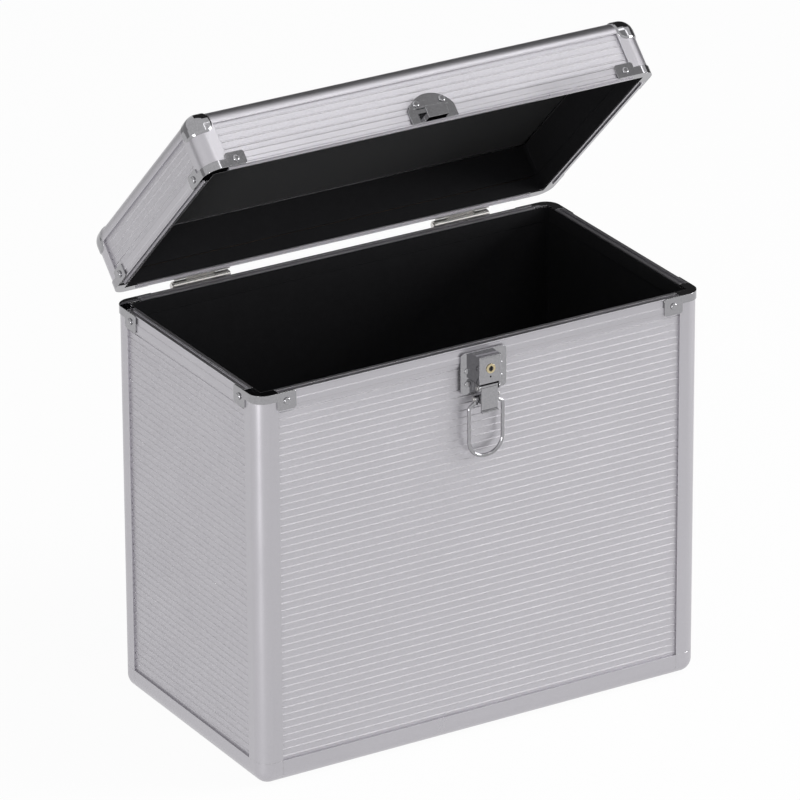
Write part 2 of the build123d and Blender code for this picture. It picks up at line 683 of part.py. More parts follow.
leaf_grip = leaf_sheet + inner_depth
with BuildPart() as hinge_body_rivets:
    rivets(body_rear.offset(leaf_face), body_hinge_spots, rivet_shank, rivet_head, rivet_rise, leaf_grip)
hinge_body_rivets.part.label = "hinge_body_rivets"

with BuildPart() as hinge_lid_rivets:
    rivets(lid_rear.offset(leaf_face), lid_hinge_spots, rivet_shank, rivet_head, rivet_rise, leaf_grip)
hinge_lid_rivets.part.label = "hinge_lid_rivets"

# ---- Latch on the body: plate with ears, lock housing and key plug ----
plate_face = half_depth + plate_sheet
lever_y = -(half_depth + lever_axis_out)
loop_y = lever_y + loop_axis_in
loop_z = -lever_axis_drop - loop_axis_below
ear_inner = lever_width / 2 + ear_gap
ear_outer = ear_inner + ear_sheet
with BuildPart() as latch_base_plate:
    with BuildSketch(body_facing.offset(half_depth)):
        with Locations((0, -(plate_top_drop + plate_bottom_drop) / 2)):
            RectangleRounded(plate_width, plate_bottom_drop - plate_top_drop, plate_corner)
        with Locations(*plate_spots):
            Circle(rivet_shank, mode=Mode.SUBTRACT)
    extrude(amount=plate_sheet)
    for way in (-1, 1):
        with BuildSketch(body_across.offset(way * ear_inner)):
            with Locations((lever_y, -lever_axis_drop)):
                Rectangle(lever_axis_out - plate_sheet, 2 * ear_radius, align=(Align.MIN, Align.CENTER))
                Circle(ear_radius)
                Circle(lever_pin_radius, mode=Mode.SUBTRACT)
        extrude(amount=way * ear_sheet)
latch_base_plate.part.label = "latch_base_plate"

plate_grip = plate_sheet + inner_depth
with BuildPart() as latch_plate_rivets:
    face = body_facing.offset(plate_face)
    rivets(face, plate_spots, rivet_shank, plate_rivet_head, plate_rivet_rise, plate_grip)
latch_plate_rivets.part.label = "latch_plate_rivets"

housing_face = plate_face + housing_depth
housing_middle = -(housing_top_drop + housing_bottom_drop) / 2
housing_height = housing_bottom_drop - housing_top_drop
boss_end = housing_face - housing_wall - key_boss_depth
with BuildPart() as latch_lock_housing:
    with BuildSketch(body_facing.offset(plate_face)):
        with Locations((0, housing_middle)):
            Rectangle(housing_width, housing_height)
    extrude(amount=housing_depth)
    fillet(latch_lock_housing.faces().sort_by(Axis.Y)[0].edges(), radius=housing_edge)
    with BuildSketch(body_facing.offset(plate_face)):
        with Locations((0, -housing_bottom_drop)):
            Rectangle(
                housing_width - 2 * housing_wall,
                housing_height - housing_wall,
                align=(Align.CENTER, Align.MIN),
            )
    extrude(amount=housing_depth - housing_wall, mode=Mode.SUBTRACT)
    with BuildSketch(body_facing.offset(boss_end)):
        with Locations((0, -key_drop)):
            Circle(key_boss_radius)
    extrude(amount=key_boss_depth)
    with BuildSketch(body_facing.offset(boss_end)):
        with Locations((0, -key_drop)):
            Circle(key_radius + key_fit)
        with Locations((0, -witness_hole_drop)):
            Circle(witness_hole_radius)
    extrude(amount=key_boss_depth + housing_wall, mode=Mode.SUBTRACT)
latch_lock_housing.part.label = "latch_lock_housing"

plug_front = housing_face + key_end_gap
plug_back = boss_end - key_end_gap - cam_thickness
with BuildPart() as latch_key_plug:
    with BuildSketch(body_facing.offset(plug_front)):
        with Locations((0, -key_drop)):
            Circle(key_collar_radius)
    extrude(amount=key_collar_height)
    with BuildSketch(body_facing.offset(plug_back)):
        with Locations((0, -key_drop)):
            Circle(key_radius)
    extrude(amount=plug_front - plug_back)
    with BuildSketch(body_facing.offset(plug_back)):
        with Locations((0, -key_drop)):
            Rectangle(cam_reach, cam_width, align=(Align.MIN, Align.CENTER))
    extrude(amount=cam_thickness)
    with BuildSketch(body_facing.offset(plug_front + key_collar_height)):
        with Locations((0, -key_drop)):
            Rectangle(key_slot_width, key_slot_length)
    extrude(amount=-key_slot_depth, mode=Mode.SUBTRACT)
latch_key_plug.part.label = "latch_key_plug"

# ---- Latch lever on its pin, and the wire loop on its rod ----
lever_front = lever_y - lever_barrel_radius
cheek_start = lever_width / 2 - lever_sheet
cheek_back = -(plate_face + lever_cheek_back)
with BuildPart() as latch_lever:
    with BuildSketch(body_across):
        with Locations((lever_y, -lever_axis_drop)):
            Circle(lever_barrel_radius)
        with Locations((lever_front, -lever_axis_drop)):
            Rectangle(lever_sheet, lever_bottom_drop - lever_axis_drop, align=(Align.MIN, Align.MAX))
        with Locations((lever_front - lever_lip, -lever_bottom_drop)):
            Rectangle(lever_lip + lever_sheet, lever_lip_height, align=(Align.MIN, Align.MIN))
    extrude(amount=lever_width / 2, both=True)
    for way in (-1, 1):
        with BuildSketch(body_across.offset(way * cheek_start)):
            with Locations((lever_front, -lever_axis_drop)):
                Rectangle(
                    cheek_back - lever_front,
                    loop_axis_below + lever_cheek_below,
                    align=(Align.MIN, Align.MAX),
                )
        extrude(amount=way * lever_sheet)
    with BuildSketch(body_across):
        with Locations((lever_y, -lever_axis_drop)):
            Circle(lever_pin_radius + lever_fit)
        with Locations((loop_y, loop_z)):
            Circle(loop_rod_radius + loop_fit)
    extrude(amount=lever_width, both=True, mode=Mode.SUBTRACT)
latch_lever.part.label = "latch_lever"

with BuildPart() as latch_lever_pin:
    with BuildSketch(body_across):
        with Locations((lever_y, -lever_axis_drop)):
            Circle(lever_pin_radius)
    extrude(amount=ear_outer, both=True)
    for way in (-1, 1):
        with BuildSketch(body_across.offset(way * ear_outer)):
            with Locations((lever_y, -lever_axis_drop)):
                Circle(lever_pin_head)
        extrude(amount=way * lever_pin_head_width)
latch_lever_pin.part.label = "latch_lever_pin"

eye_start = lever_width / 2 + loop_eye_gap
rod_end = eye_start + loop_eye_width + loop_end_play
with BuildPart() as latch_loop_rod:
    with BuildSketch(body_across):
        with Locations((loop_y, loop_z)):
            Circle(loop_rod_radius)
    extrude(amount=rod_end, both=True)
    for way in (-1, 1):
        with BuildSketch(body_across.offset(way * rod_end)):
            with Locations((loop_y, loop_z)):
                Circle(loop_rod_head)
        extrude(amount=way * loop_rod_head_width)
latch_loop_rod.part.label = "latch_loop_rod"

loop_start = eye_start + loop_eye_width / 2
loop_low = loop_z - loop_reach
loop_turn = loop_z - loop_shoulder
loop_root = loop_z - loop_neck
with BuildPart() as latch_loop:
    with BuildLine(body_facing.offset(-loop_y)) as loop_path:
        FilletPolyline(
            (-loop_start, loop_root),
            (-loop_half_width, loop_turn),
            (-loop_half_width, loop_low),
            (loop_half_width, loop_low),
            (loop_half_width, loop_turn),
            (loop_start, loop_root),
            radius=[loop_shoulder_radius, loop_end_radius, loop_end_radius, loop_shoulder_radius],
        )
    with BuildSketch(Plane(origin=loop_path.line @ 0, z_dir=loop_path.line % 0)):
        Circle(loop_wire)
    sweep(path=loop_path.line)
    for way in (-1, 1):
        with BuildSketch(body_across.offset(way * eye_start)):
            with Locations((loop_y, loop_z)):
                Circle(loop_eye_radius)
                Rectangle(2 * loop_wire, loop_neck + loop_wire, align=(Align.CENTER, Align.MAX))
        extrude(amount=way * loop_eye_width)
    with BuildSketch(body_across):
        with Locations((loop_y, loop_z)):
            Circle(loop_rod_radius + loop_fit)
    extrude(amount=rod_end, both=True, mode=Mode.SUBTRACT)
latch_loop.part.label = "latch_loop"

# ---- Lid walls and top ----
lid_wall_high = lid_height - edge_radius
lid_rib_low = half_gap + lid_rim_height + rib_margin
lid_rib_high = lid_height - lid_edge_flange - rib_margin
lid_roof = lid_height - inner_depth
top_face = lid_height - skin_depth
with BuildPart() as lid_front_board:
    face = lid_facing.offset(board_face_y)
    wall_sheet(face, board_half_x, channel, lid_wall_high, board_thickness, keeper_spots)
lid_front_board.part.label = "lid_front_board"

with BuildPart() as lid_back_board:
    face = lid_rear.offset(board_face_y)
    wall_sheet(face, board_half_x, channel, lid_wall_high, board_thickness, lid_hinge_spots)
lid_back_board.part.label = "lid_back_board"

with BuildPart() as lid_side_boards:
    wall_sheet(lid_across.offset(board_face_x), board_half_y, channel, lid_wall_high, board_thickness)
    mirror(about=Plane.YZ)
lid_side_boards.part.label = "lid_side_boards"

with BuildPart() as lid_top_board:
    with BuildSketch(lid_level.offset(lid_roof)):
        Rectangle(2 * board_half_x, 2 * board_half_y)
        with Locations(*mount_spots):
            Circle(mount_screw_radius, mode=Mode.SUBTRACT)
    extrude(amount=board_thickness)
lid_top_board.part.label = "lid_top_board"

with BuildPart() as lid_front_skin:
    wall_sheet(lid_facing.offset(skin_face_y), board_half_x, channel, lid_wall_high, skin_thickness)
    ribs(lid_across, skin_face_y, -1, lid_rib_low, lid_rib_high, front_rib_half)
    rivet_holes(lid_facing.offset(skin_face_y), keeper_spots, rivet_shank, skin_drill)
lid_front_skin.part.label = "lid_front_skin"

with BuildPart() as lid_back_skin:
    wall_sheet(lid_rear.offset(skin_face_y), board_half_x, channel, lid_wall_high, skin_thickness)
    ribs(lid_across, skin_face_y, 1, lid_rib_low, lid_rib_high, front_rib_half)
    rivet_holes(lid_rear.offset(skin_face_y), lid_hinge_spots, rivet_shank, skin_drill)
lid_back_skin.part.label = "lid_back_skin"

with BuildPart() as lid_side_skins:
    wall_sheet(lid_across.offset(skin_face_x), board_half_y, channel, lid_wall_high, skin_thickness)
    ribs(lid_facing, skin_face_x, 1, lid_rib_low, lid_rib_high, side_rib_half)
    mirror(about=Plane.YZ)
lid_side_skins.part.label = "lid_side_skins"

top_rib_half = half_depth - lid_top_flange - rib_margin
top_rib_count = int((2 * top_rib_half - rib_base) / rib_pitch) + 1
with BuildPart() as lid_top_skin:
    with BuildSketch(lid_level.offset(top_face)):
        Rectangle(2 * board_half_x, 2 * board_half_y)
    extrude(amount=-skin_thickness)
    with BuildSketch(lid_across):
        with Locations((0, top_face)):
            with GridLocations(rib_pitch, 0, top_rib_count, 1):
                Trapezoid(rib_base, rib_height, rib_slope, align=(Align.CENTER, Align.MIN))
    extrude(amount=half_width - lid_top_flange - rib_margin, both=True)
    rivet_holes(lid_level.offset(top_face), mount_spots, mount_screw_radius, skin_drill)
lid_top_skin.part.label = "lid_top_skin"

with BuildPart() as lid_wall_lining:
    with BuildSketch(lid_level.offset(half_gap + rim_inner_height)):
        Rectangle(case_width - 2 * inner_depth, case_depth - 2 * inner_depth)
        Rectangle(room_width, room_length, mode=Mode.SUBTRACT)
    extrude(amount=lid_roof - half_gap - rim_inner_height)
lid_wall_lining.part.label = "lid_wall_lining"

with BuildPart() as lid_top_lining:
    with BuildSketch(lid_level.offset(lid_roof)):
        Rectangle(room_width, room_length)
    extrude(amount=-lining_thickness)
lid_top_lining.part.label = "lid_top_lining"

# ---- Lid frame: top edges, uprights, rims, ball corners and brackets ----
lid_profile_end = lid_top_flange + joint_seam
with BuildPart() as lid_edge_profiles_long:
    with BuildSketch(lid_across):
        edge_section(-half_depth, lid_height, 1, -1, lid_top_flange, lid_edge_flange)
        edge_section(half_depth, lid_height, -1, -1, lid_top_flange, lid_edge_flange)
    extrude(amount=half_width - lid_profile_end, both=True)
lid_edge_profiles_long.part.label = "lid_edge_profiles_long"

with BuildPart() as lid_edge_profiles_short:
    with BuildSketch(lid_facing):
        edge_section(-half_width, lid_height, 1, -1, lid_top_flange, lid_edge_flange)
        edge_section(half_width, lid_height, -1, -1, lid_top_flange, lid_edge_flange)
    extrude(amount=half_depth - lid_profile_end, both=True)
lid_edge_profiles_short.part.label = "lid_edge_profiles_short"

lid_upright_low = half_gap + bracket_sheet
lid_upright_high = lid_height - lid_edge_flange - joint_seam
with BuildPart() as lid_corner_profiles:
    with BuildSketch(lid_level.offset(lid_upright_low)):
        edge_section(-half_width, -half_depth, 1, 1, body_flange, body_flange)
        mirror(about=Plane.YZ)
        mirror(about=Plane.XZ)
    extrude(amount=lid_upright_high - lid_upright_low)
lid_corner_profiles.part.label = "lid_corner_profiles"

with BuildPart() as lid_rim_front:
    rim_long(lid_across, lid_facing.offset(half_depth), -1, 1, lid_rim_height, lid_bead_start, True)
lid_rim_front.part.label = "lid_rim_front"

with BuildPart() as lid_rim_back:
    rim_long(lid_across, lid_rear.offset(half_depth), 1, 1, lid_rim_height, lid_bead_start, True)
lid_rim_back.part.label = "lid_rim_back"

with BuildPart() as lid_rim_sides:
    rim_short(lid_facing, lid_across, 1, lid_rim_height, lid_bead_start, True)
    mirror(about=Plane.YZ)
lid_rim_sides.part.label = "lid_rim_sides"

with BuildPart() as lid_rim_brackets:
    corner_bracket(lid_level, lid_facing, lid_across, 1, lid_rim_height)
    mirror(about=Plane.YZ)
    mirror(about=lid_rear)
lid_rim_brackets.part.label = "lid_rim_brackets"

with BuildPart() as lid_bracket_rivets:
    tab_rivets(lid_facing, lid_across, 1, lid_rim_height)
    mirror(about=Plane.YZ)
    mirror(about=lid_rear)
lid_bracket_rivets.part.label = "lid_bracket_rivets"

ball_outer = edge_radius + ball_sheet
lid_axis = Axis(lid_origin, up_dir)
with BuildPart() as ball_core:
    with BuildSketch(lid_level):
        RectangleRounded(case_width, case_depth, edge_radius)
    extrude(amount=lid_height)
    fillet(ball_core.edges().group_by(lid_axis)[-1], radius=edge_radius - fillet_ease)

with BuildPart(lid_level) as ball_cutters:
    with Locations((0, 0, lid_wall_high)):
        with GridLocations(2 * board_half_x, 2 * board_half_y, 2, 2):
            Sphere(ball_sphere)

with BuildPart() as lid_ball_corners:
    with BuildSketch(lid_level):
        RectangleRounded(case_width + 2 * ball_sheet, case_depth + 2 * ball_sheet, ball_outer)
    extrude(amount=lid_height + ball_sheet)
    fillet(lid_ball_corners.edges().group_by(lid_axis)[-1], radius=ball_outer - fillet_ease)
    add(ball_core.part, mode=Mode.SUBTRACT)
    add(ball_cutters.part, mode=Mode.INTERSECT)
lid_ball_corners.part.label = "lid_ball_corners"

# ---- Keeper on the lid's front ----
keeper_half = keeper_width / 2
keeper_face = half_depth + keeper_sheet
hook_front = half_depth + hook_reach
with BuildPart() as keeper_plate:
    with BuildSketch(lid_facing.offset(half_depth)):
        with BuildLine():
            Polyline(
                (keeper_half, keeper_shoulder),
                (keeper_half, keeper_bottom),
                (-keeper_half, keeper_bottom),
                (-keeper_half, keeper_shoulder),
            )
            ThreePointArc((-keeper_half, keeper_shoulder), (0, keeper_top), (keeper_half, keeper_shoulder))
        make_face()
        with Locations(*keeper_spots):
            Circle(rivet_shank, mode=Mode.SUBTRACT)
    extrude(amount=keeper_sheet)
    with BuildSketch(lid_across):
        with Locations((-hook_front, hook_floor)):
            Rectangle(hook_reach - keeper_sheet, hook_floor_top - hook_floor, align=(Align.MIN, Align.MIN))
            Rectangle(hook_sheet, hook_lip_top - hook_floor, align=(Align.MIN, Align.MIN))
    extrude(amount=hook_width / 2, both=True)
    with BuildSketch(lid_facing.offset(keeper_face)):
        with Locations((0, step_middle)):
            Rectangle(step_width, step_height)
    extrude(amount=step_rise)
keeper_plate.part.label = "keeper_plate"

with BuildPart() as keeper_rivets:
    keeper_grip = keeper_sheet + inner_depth
    rivets(lid_facing.offset(keeper_face), keeper_spots, rivet_shank, rivet_head, rivet_rise, keeper_grip)
keeper_rivets.part.label = "keeper_rivets"

# ---- Handle on the lid: two screwed mounts with pins and a handle that folds flat ----
mount_base = top_face + rib_height
mount_top = mount_base + mount_sheet
pivot_z = top_face + handle_pivot_rise
ear_start = handle_pivot_x - mount_ear_width / 2
ear_end = handle_pivot_x + mount_ear_width / 2
arm_outer = ear_start - handle_arm_gap
arm_inner = arm_outer - handle_arm_width
arm_middle = (arm_inner + arm_outer) / 2
with BuildPart() as handle_mounts:
    with BuildSketch(lid_level.offset(mount_base)):
        with Locations((handle_pivot_x, 0)):
            RectangleRounded(mount_plate_x, mount_plate_y, plate_corner)
        with Locations((mount_screw_x, -mount_screw_y), (mount_screw_x, mount_screw_y)):
            Circle(mount_screw_radius, mode=Mode.SUBTRACT)
    extrude(amount=mount_sheet)
    with BuildSketch(lid_across.offset(ear_start)):
        with Locations((0, pivot_z)):
            Circle(mount_ear_radius)
            Rectangle(2 * mount_ear_radius, pivot_z - mount_base, align=(Align.CENTER, Align.MAX))
            Circle(handle_pin_radius, mode=Mode.SUBTRACT)
    extrude(amount=mount_ear_width)
    mirror(about=Plane.YZ)
handle_mounts.part.label = "handle_mounts"

screw_grip = mount_top - lid_roof
with BuildPart() as handle_mount_screws:
    face = lid_level.offset(mount_top)
    rivets(face, mount_spots, mount_screw_radius, mount_screw_head, mount_screw_rise, screw_grip)
handle_mount_screws.part.label = "handle_mount_screws"

with BuildPart() as handle_pins:
    with BuildSketch(lid_across.offset(arm_inner + pin_end_inset)):
        with Locations((0, pivot_z)):
            Circle(handle_pin_radius)
    extrude(amount=ear_end - arm_inner - pin_end_inset)
    with BuildSketch(lid_across.offset(ear_end)):
        with Locations((0, pivot_z)):
            Circle(handle_pin_head)
    extrude(amount=handle_pin_head_width)
    mirror(about=Plane.YZ)
handle_pins.part.label = "handle_pins"

with BuildPart() as handle_grip:
    with BuildLine(lid_level.offset(pivot_z)) as grip_path:
        FilletPolyline(
            (-arm_middle, 0),
            (-arm_middle, handle_reach),
            (arm_middle, handle_reach),
            (arm_middle, 0),
            radius=handle_corner,
        )
    with BuildSketch(Plane(origin=grip_path.line @ 0, x_dir=(1, 0, 0), z_dir=grip_path.line % 0)):
        RectangleRounded(handle_arm_width, 2 * handle_arm_radius, handle_arm_edge)
    sweep(path=grip_path.line)
    with BuildSketch(lid_across):
        with Locations((handle_reach, pivot_z)):
            RectangleRounded(grip_width, grip_thickness, grip_edge)
    extrude(amount=grip_half_length, both=True)
    for way in (-1, 1):
        with BuildSketch(lid_across.offset(way * arm_inner)):
            with Locations((0, pivot_z)):
                Circle(handle_arm_radius)
        extrude(amount=way * handle_arm_width)
    with BuildSketch(lid_across):
        with Locations((0, pivot_z)):
            Circle(handle_pin_radius + handle_fit)
    extrude(amount=arm_outer + handle_arm_gap, both=True, mode=Mode.SUBTRACT)
handle_grip.part.label = "handle_grip"

os.makedirs("parts", exist_ok=True)
export_step(body_front_board.part, "parts/body_front_board.step")
export_step(body_back_board.part, "parts/body_back_board.step")
export_step(body_side_boards.part, "parts/body_side_boards.step")
export_step(body_front_skin.part, "parts/body_front_skin.step")
export_step(body_back_skin.part, "parts/body_back_skin.step")
export_step(body_side_skins.part, "parts/body_side_skins.step")
export_step(body_bottom_board.part, "parts/body_bottom_board.step")
export_step(body_wall_lining.part, "parts/body_wall_lining.step")
export_step(body_floor_lining.part, "parts/body_floor_lining.step")
export_step(body_corner_profiles.part, "parts/body_corner_profiles.step")
export_step(body_base_profiles_long.part, "parts/body_base_profiles_long.step")
export_step(body_base_profiles_short.part, "parts/body_base_profiles_short.step")
export_step(base_corner_caps.part, "parts/base_corner_caps.step")
export_step(body_rim_front.part, "parts/body_rim_front.step")
export_step(body_rim_back.part, "parts/body_rim_back.step")
export_step(body_rim_sides.part, "parts/body_rim_sides.step")
export_step(body_rim_brackets.part, "parts/body_rim_brackets.step")
export_step(body_bracket_rivets.part, "parts/body_bracket_rivets.step")
export_step(feet.part, "parts/feet.step")
export_step(foot_screws.part, "parts/foot_screws.step")
export_step(hinge_body_leaves.part, "parts/hinge_body_leaves.step")
export_step(hinge_lid_leaves.part, "parts/hinge_lid_leaves.step")
export_step(hinge_pins.part, "parts/hinge_pins.step")
export_step(hinge_body_rivets.part, "parts/hinge_body_rivets.step")
export_step(hinge_lid_rivets.part, "parts/hinge_lid_rivets.step")
export_step(latch_base_plate.part, "parts/latch_base_plate.step")
export_step(latch_plate_rivets.part, "parts/latch_plate_rivets.step")
export_step(latch_lock_housing.part, "parts/latch_lock_housing.step")
export_step(latch_key_plug.part, "parts/latch_key_plug.step")
export_step(latch_lever.part, "parts/latch_lever.step")
export_step(latch_lever_pin.part, "parts/latch_lever_pin.step")
export_step(latch_loop_rod.part, "parts/latch_loop_rod.step")
export_step(latch_loop.part, "parts/latch_loop.step")
export_step(lid_front_board.part, "parts/lid_front_board.step")
export_step(lid_back_board.part, "parts/lid_back_board.step")
export_step(lid_side_boards.part, "parts/lid_side_boards.step")
export_step(lid_top_board.part, "parts/lid_top_board.step")
export_step(lid_front_skin.part, "parts/lid_front_skin.step")
export_step(lid_back_skin.part, "parts/lid_back_skin.step")
export_step(lid_side_skins.part, "parts/lid_side_skins.step")
export_step(lid_top_skin.part, "parts/lid_top_skin.step")
export_step(lid_wall_lining.part, "parts/lid_wall_lining.step")
export_step(lid_top_lining.part, "parts/lid_top_lining.step")
export_step(lid_edge_profiles_long.part, "parts/lid_edge_profiles_long.step")
export_step(lid_edge_profiles_short.part, "parts/lid_edge_profiles_short.step")
export_step(lid_corner_profiles.part, "parts/lid_corner_profiles.step")
export_step(lid_rim_front.part, "parts/lid_rim_front.step")
export_step(lid_rim_back.part, "parts/lid_rim_back.step")
export_step(lid_rim_sides.part, "parts/lid_rim_sides.step")
export_step(lid_rim_brackets.part, "parts/lid_rim_brackets.step")
export_step(lid_bracket_rivets.part, "parts/lid_bracket_rivets.step")
export_step(lid_ball_corners.part, "parts/lid_ball_corners.step")
export_step(keeper_plate.part, "parts/keeper_plate.step")
export_step(keeper_rivets.part, "parts/keeper_rivets.step")
export_step(handle_mounts.part, "parts/handle_mounts.step")
export_step(handle_mount_screws.part, "parts/handle_mount_screws.step")
export_step(handle_pins.part, "parts/handle_pins.step")
export_step(handle_grip.part, "parts/handle_grip.step")
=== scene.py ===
import math

import bmesh
import bpy
import numpy as np
from mathutils import Matrix, Vector


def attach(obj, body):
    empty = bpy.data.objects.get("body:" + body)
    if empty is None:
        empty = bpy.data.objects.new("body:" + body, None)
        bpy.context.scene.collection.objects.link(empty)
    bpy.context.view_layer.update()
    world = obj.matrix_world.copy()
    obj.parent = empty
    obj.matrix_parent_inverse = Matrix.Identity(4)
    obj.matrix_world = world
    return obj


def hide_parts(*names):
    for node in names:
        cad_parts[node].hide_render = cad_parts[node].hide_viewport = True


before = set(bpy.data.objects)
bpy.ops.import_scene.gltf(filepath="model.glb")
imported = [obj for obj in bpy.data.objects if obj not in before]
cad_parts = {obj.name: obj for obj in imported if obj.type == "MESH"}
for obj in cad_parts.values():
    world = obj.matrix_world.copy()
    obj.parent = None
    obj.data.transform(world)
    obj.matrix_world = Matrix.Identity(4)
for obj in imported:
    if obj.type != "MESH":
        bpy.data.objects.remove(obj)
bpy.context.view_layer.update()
print("case: packed model loaded,", len(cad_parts), "nodes")

mm = 0.001
lidTilt = math.radians(45.0)  # the lid stands this far open at rest
lidOrigin = np.array([0.0, 21.7287, 364.0998]) * mm  # middle of the lid's rim plane
lidBack = np.array([0.0, math.cos(lidTilt), -math.sin(lidTilt)])
lidUp = np.array([0.0, math.sin(lidTilt), math.cos(lidTilt)])
bodyMiddle = -10.0 * mm  # the box's middle lies this far from the origin along Y


def addNode(tree, kind, inputs=None, **settings):
    # makes a shader node; an input is a value, or another node's output to link
    node = tree.nodes.new(kind)
    for key, value in settings.items():
        setattr(node, key, value)
    for key, value in (inputs or {}).items():
        if isinstance(value, bpy.types.NodeSocket):
            tree.links.new(value, node.inputs[key])
        else:
            node.inputs[key].default_value = value
    return node


def mathNode(tree, operation, first, second=0.0, third=None, clamp=False):
    values = {0: first, 1: second}
    if third is not None:
        values[2] = third
    return addNode(tree, "ShaderNodeMath", values, operation=operation, use_clamp=clamp).outputs[0]


def rangeNode(tree, value, fromLow, fromHigh, toLow, toHigh, smooth=False):
    # carries one range of values onto another and holds it at both ends
    kind = "SMOOTHSTEP" if smooth else "LINEAR"
    inputs = {"Value": value, "From Min": fromLow, "From Max": fromHigh, "To Min": toLow, "To Max": toHigh}
    return addNode(tree, "ShaderNodeMapRange", inputs, interpolation_type=kind, clamp=True).outputs[0]


def mixColours(tree, share, first, second):
    return addNode(tree, "ShaderNodeMix", {0: share, 6: first, 7: second}, data_type="RGBA").outputs[2]


def noiseNode(tree, place, scale, detail=3.0, roughness=0.5):
    inputs = {"Vector": place, "Scale": scale, "Detail": detail, "Roughness": roughness}
    return addNode(tree, "ShaderNodeTexNoise", inputs).outputs["Fac"]


def vectorNode(tree, operation, first, second):
    return addNode(tree, "ShaderNodeVectorMath", {0: first, 1: second}, operation=operation).outputs


def turnPlace(tree, place, degrees, scale=(1.0, 1.0, 1.0)):
    inputs = {"Vector": place, "Rotation": tuple(math.radians(a) for a in degrees), "Scale": scale}
    return addNode(tree, "ShaderNodeMapping", inputs).outputs[0]


def bumpNode(tree, shader, strength, depth, height, normal=None):
    # depth in millimetres
    inputs = {"Strength": strength, "Distance": depth * mm, "Height": height}
    if normal is not None:
        inputs["Normal"] = normal
    tree.links.new(addNode(tree, "ShaderNodeBump", inputs).outputs[0], shader.inputs["Normal"])


def newGroup(name, inputs, outputs):
    # an empty shader group: its tree, the sockets that come in and the sockets that go out
    tree = bpy.data.node_groups.new(name, "ShaderNodeTree")
    for label, kind, value in inputs:
        socket = tree.interface.new_socket(name=label, in_out="INPUT", socket_type=kind)
        if value is not None:
            socket.default_value = value
    for label, kind in outputs:
        tree.interface.new_socket(name=label, in_out="OUTPUT", socket_type=kind)
    entry = tree.nodes.new("NodeGroupInput")
    leave = tree.nodes.new("NodeGroupOutput")
    return tree, entry.outputs, leave.inputs


def placeGroup(tree, group, inputs):
    return addNode(tree, "ShaderNodeGroup", inputs, node_tree=group).outputs


number, vector = "NodeSocketFloat", "NodeSocketVector"


def edgeRubGroup():
    # rounded, rubbed edges: the bevelled normal against the true one gives the mask
    rub = dict(sharp=0.995, full=0.86, patchScale=260.0, patchDetail=4.0, patchLow=0.32,
               patchHigh=0.62, least=0.25)
    tree, gIn, gOut = newGroup(
        "edgeRub", [("Vector", vector, None), ("Radius", number, 0.0004), ("Rub", number, 1.0)],
        [("Mask", number), ("Normal", vector)])
    bevel = addNode(tree, "ShaderNodeBevel", {"Radius": gIn["Radius"]}, samples=4).outputs[0]
    trueNormal = addNode(tree, "ShaderNodeNewGeometry").outputs["True Normal"]
    turn = vectorNode(tree, "DOT_PRODUCT", bevel, trueNormal)["Value"]
    edge = rangeNode(tree, turn, rub["sharp"], rub["full"], 0.0, 1.0)
    patches = noiseNode(tree, gIn["Vector"], rub["patchScale"], rub["patchDetail"])
    patchy = rangeNode(tree, patches, rub["patchLow"], rub["patchHigh"], rub["least"], 1.0)
    mask = mathNode(tree, "MULTIPLY", mathNode(tree, "MULTIPLY", edge, patchy), gIn["Rub"])
    tree.links.new(mask, gOut["Mask"])
    tree.links.new(bevel, gOut["Normal"])
    return tree


def metalGrainGroup():
    # fine grain: even specks and long streaks, as on blasted and drawn aluminium
    tree, gIn, gOut = newGroup(
        "metalGrain", [("Vector", vector, None), ("Speck Size", number, 1800.0),
                       ("Streak Size", number, 2600.0), ("Streak Stretch", number, 0.02),
                       ("Streaks", number, 0.5)],
        [("Height", number), ("Speck", number)])
    speck = noiseNode(tree, gIn["Vector"], gIn["Speck Size"], 3.0, 0.6)
    stretch = addNode(tree, "ShaderNodeCombineXYZ", {"X": gIn["Streak Stretch"], "Y": 1.0, "Z": 1.0})
    longPlace = vectorNode(tree, "MULTIPLY", gIn["Vector"], stretch.outputs[0])[0]
    streak = noiseNode(tree, longPlace, gIn["Streak Size"], 4.0, 0.65)
    both = addNode(tree, "ShaderNodeMix", {0: gIn["Streaks"], 2: speck, 3: streak}, data_type="FLOAT")
    tree.links.new(both.outputs[0], gOut["Height"])
    tree.links.new(speck, gOut["Speck"])
    return tree


def handlingGroup():
    # handling marks: broad smudges, and hair scratches where two stretched noises pass their middle value
    hairs = (((20.0, 35.0, 60.0), 0.03), ((70.0, -15.0, -40.0), 0.045))  # direction in degrees, stretch
    hairWidth = 0.006
    tree, gIn, gOut = newGroup(
        "handling", [("Vector", vector, None), ("Smudge Size", number, 28.0),
                     ("Scratch Size", number, 300.0)],
        [("Smudge", number), ("Scratch", number)])
    smudge = noiseNode(tree, gIn["Vector"], gIn["Smudge Size"], 5.0, 0.6)
    lines = []
    for degrees, span in hairs:
        turned = turnPlace(tree, gIn["Vector"], degrees, (span, 1.0, 1.0))
        hair = noiseNode(tree, turned, gIn["Scratch Size"], 2.0)
        away = mathNode(tree, "ABSOLUTE", mathNode(tree, "SUBTRACT", hair, 0.5))
        lines.append(rangeNode(tree, away, 0.0, hairWidth, 1.0, 0.0))
    scratch = mathNode(tree, "MAXIMUM", lines[0], lines[1])
    spread = rangeNode(tree, noiseNode(tree, gIn["Vector"], 40.0, 2.0), 0.52, 0.68, 0.0, 1.0)
    tree.links.new(smudge, gOut["Smudge"])
    tree.links.new(mathNode(tree, "MULTIPLY", scratch, spread), gOut["Scratch"])
    return tree


edgeRub, metalGrain, handling = edgeRubGroup(), metalGrainGroup(), handlingGroup()
print("case: shader groups built")


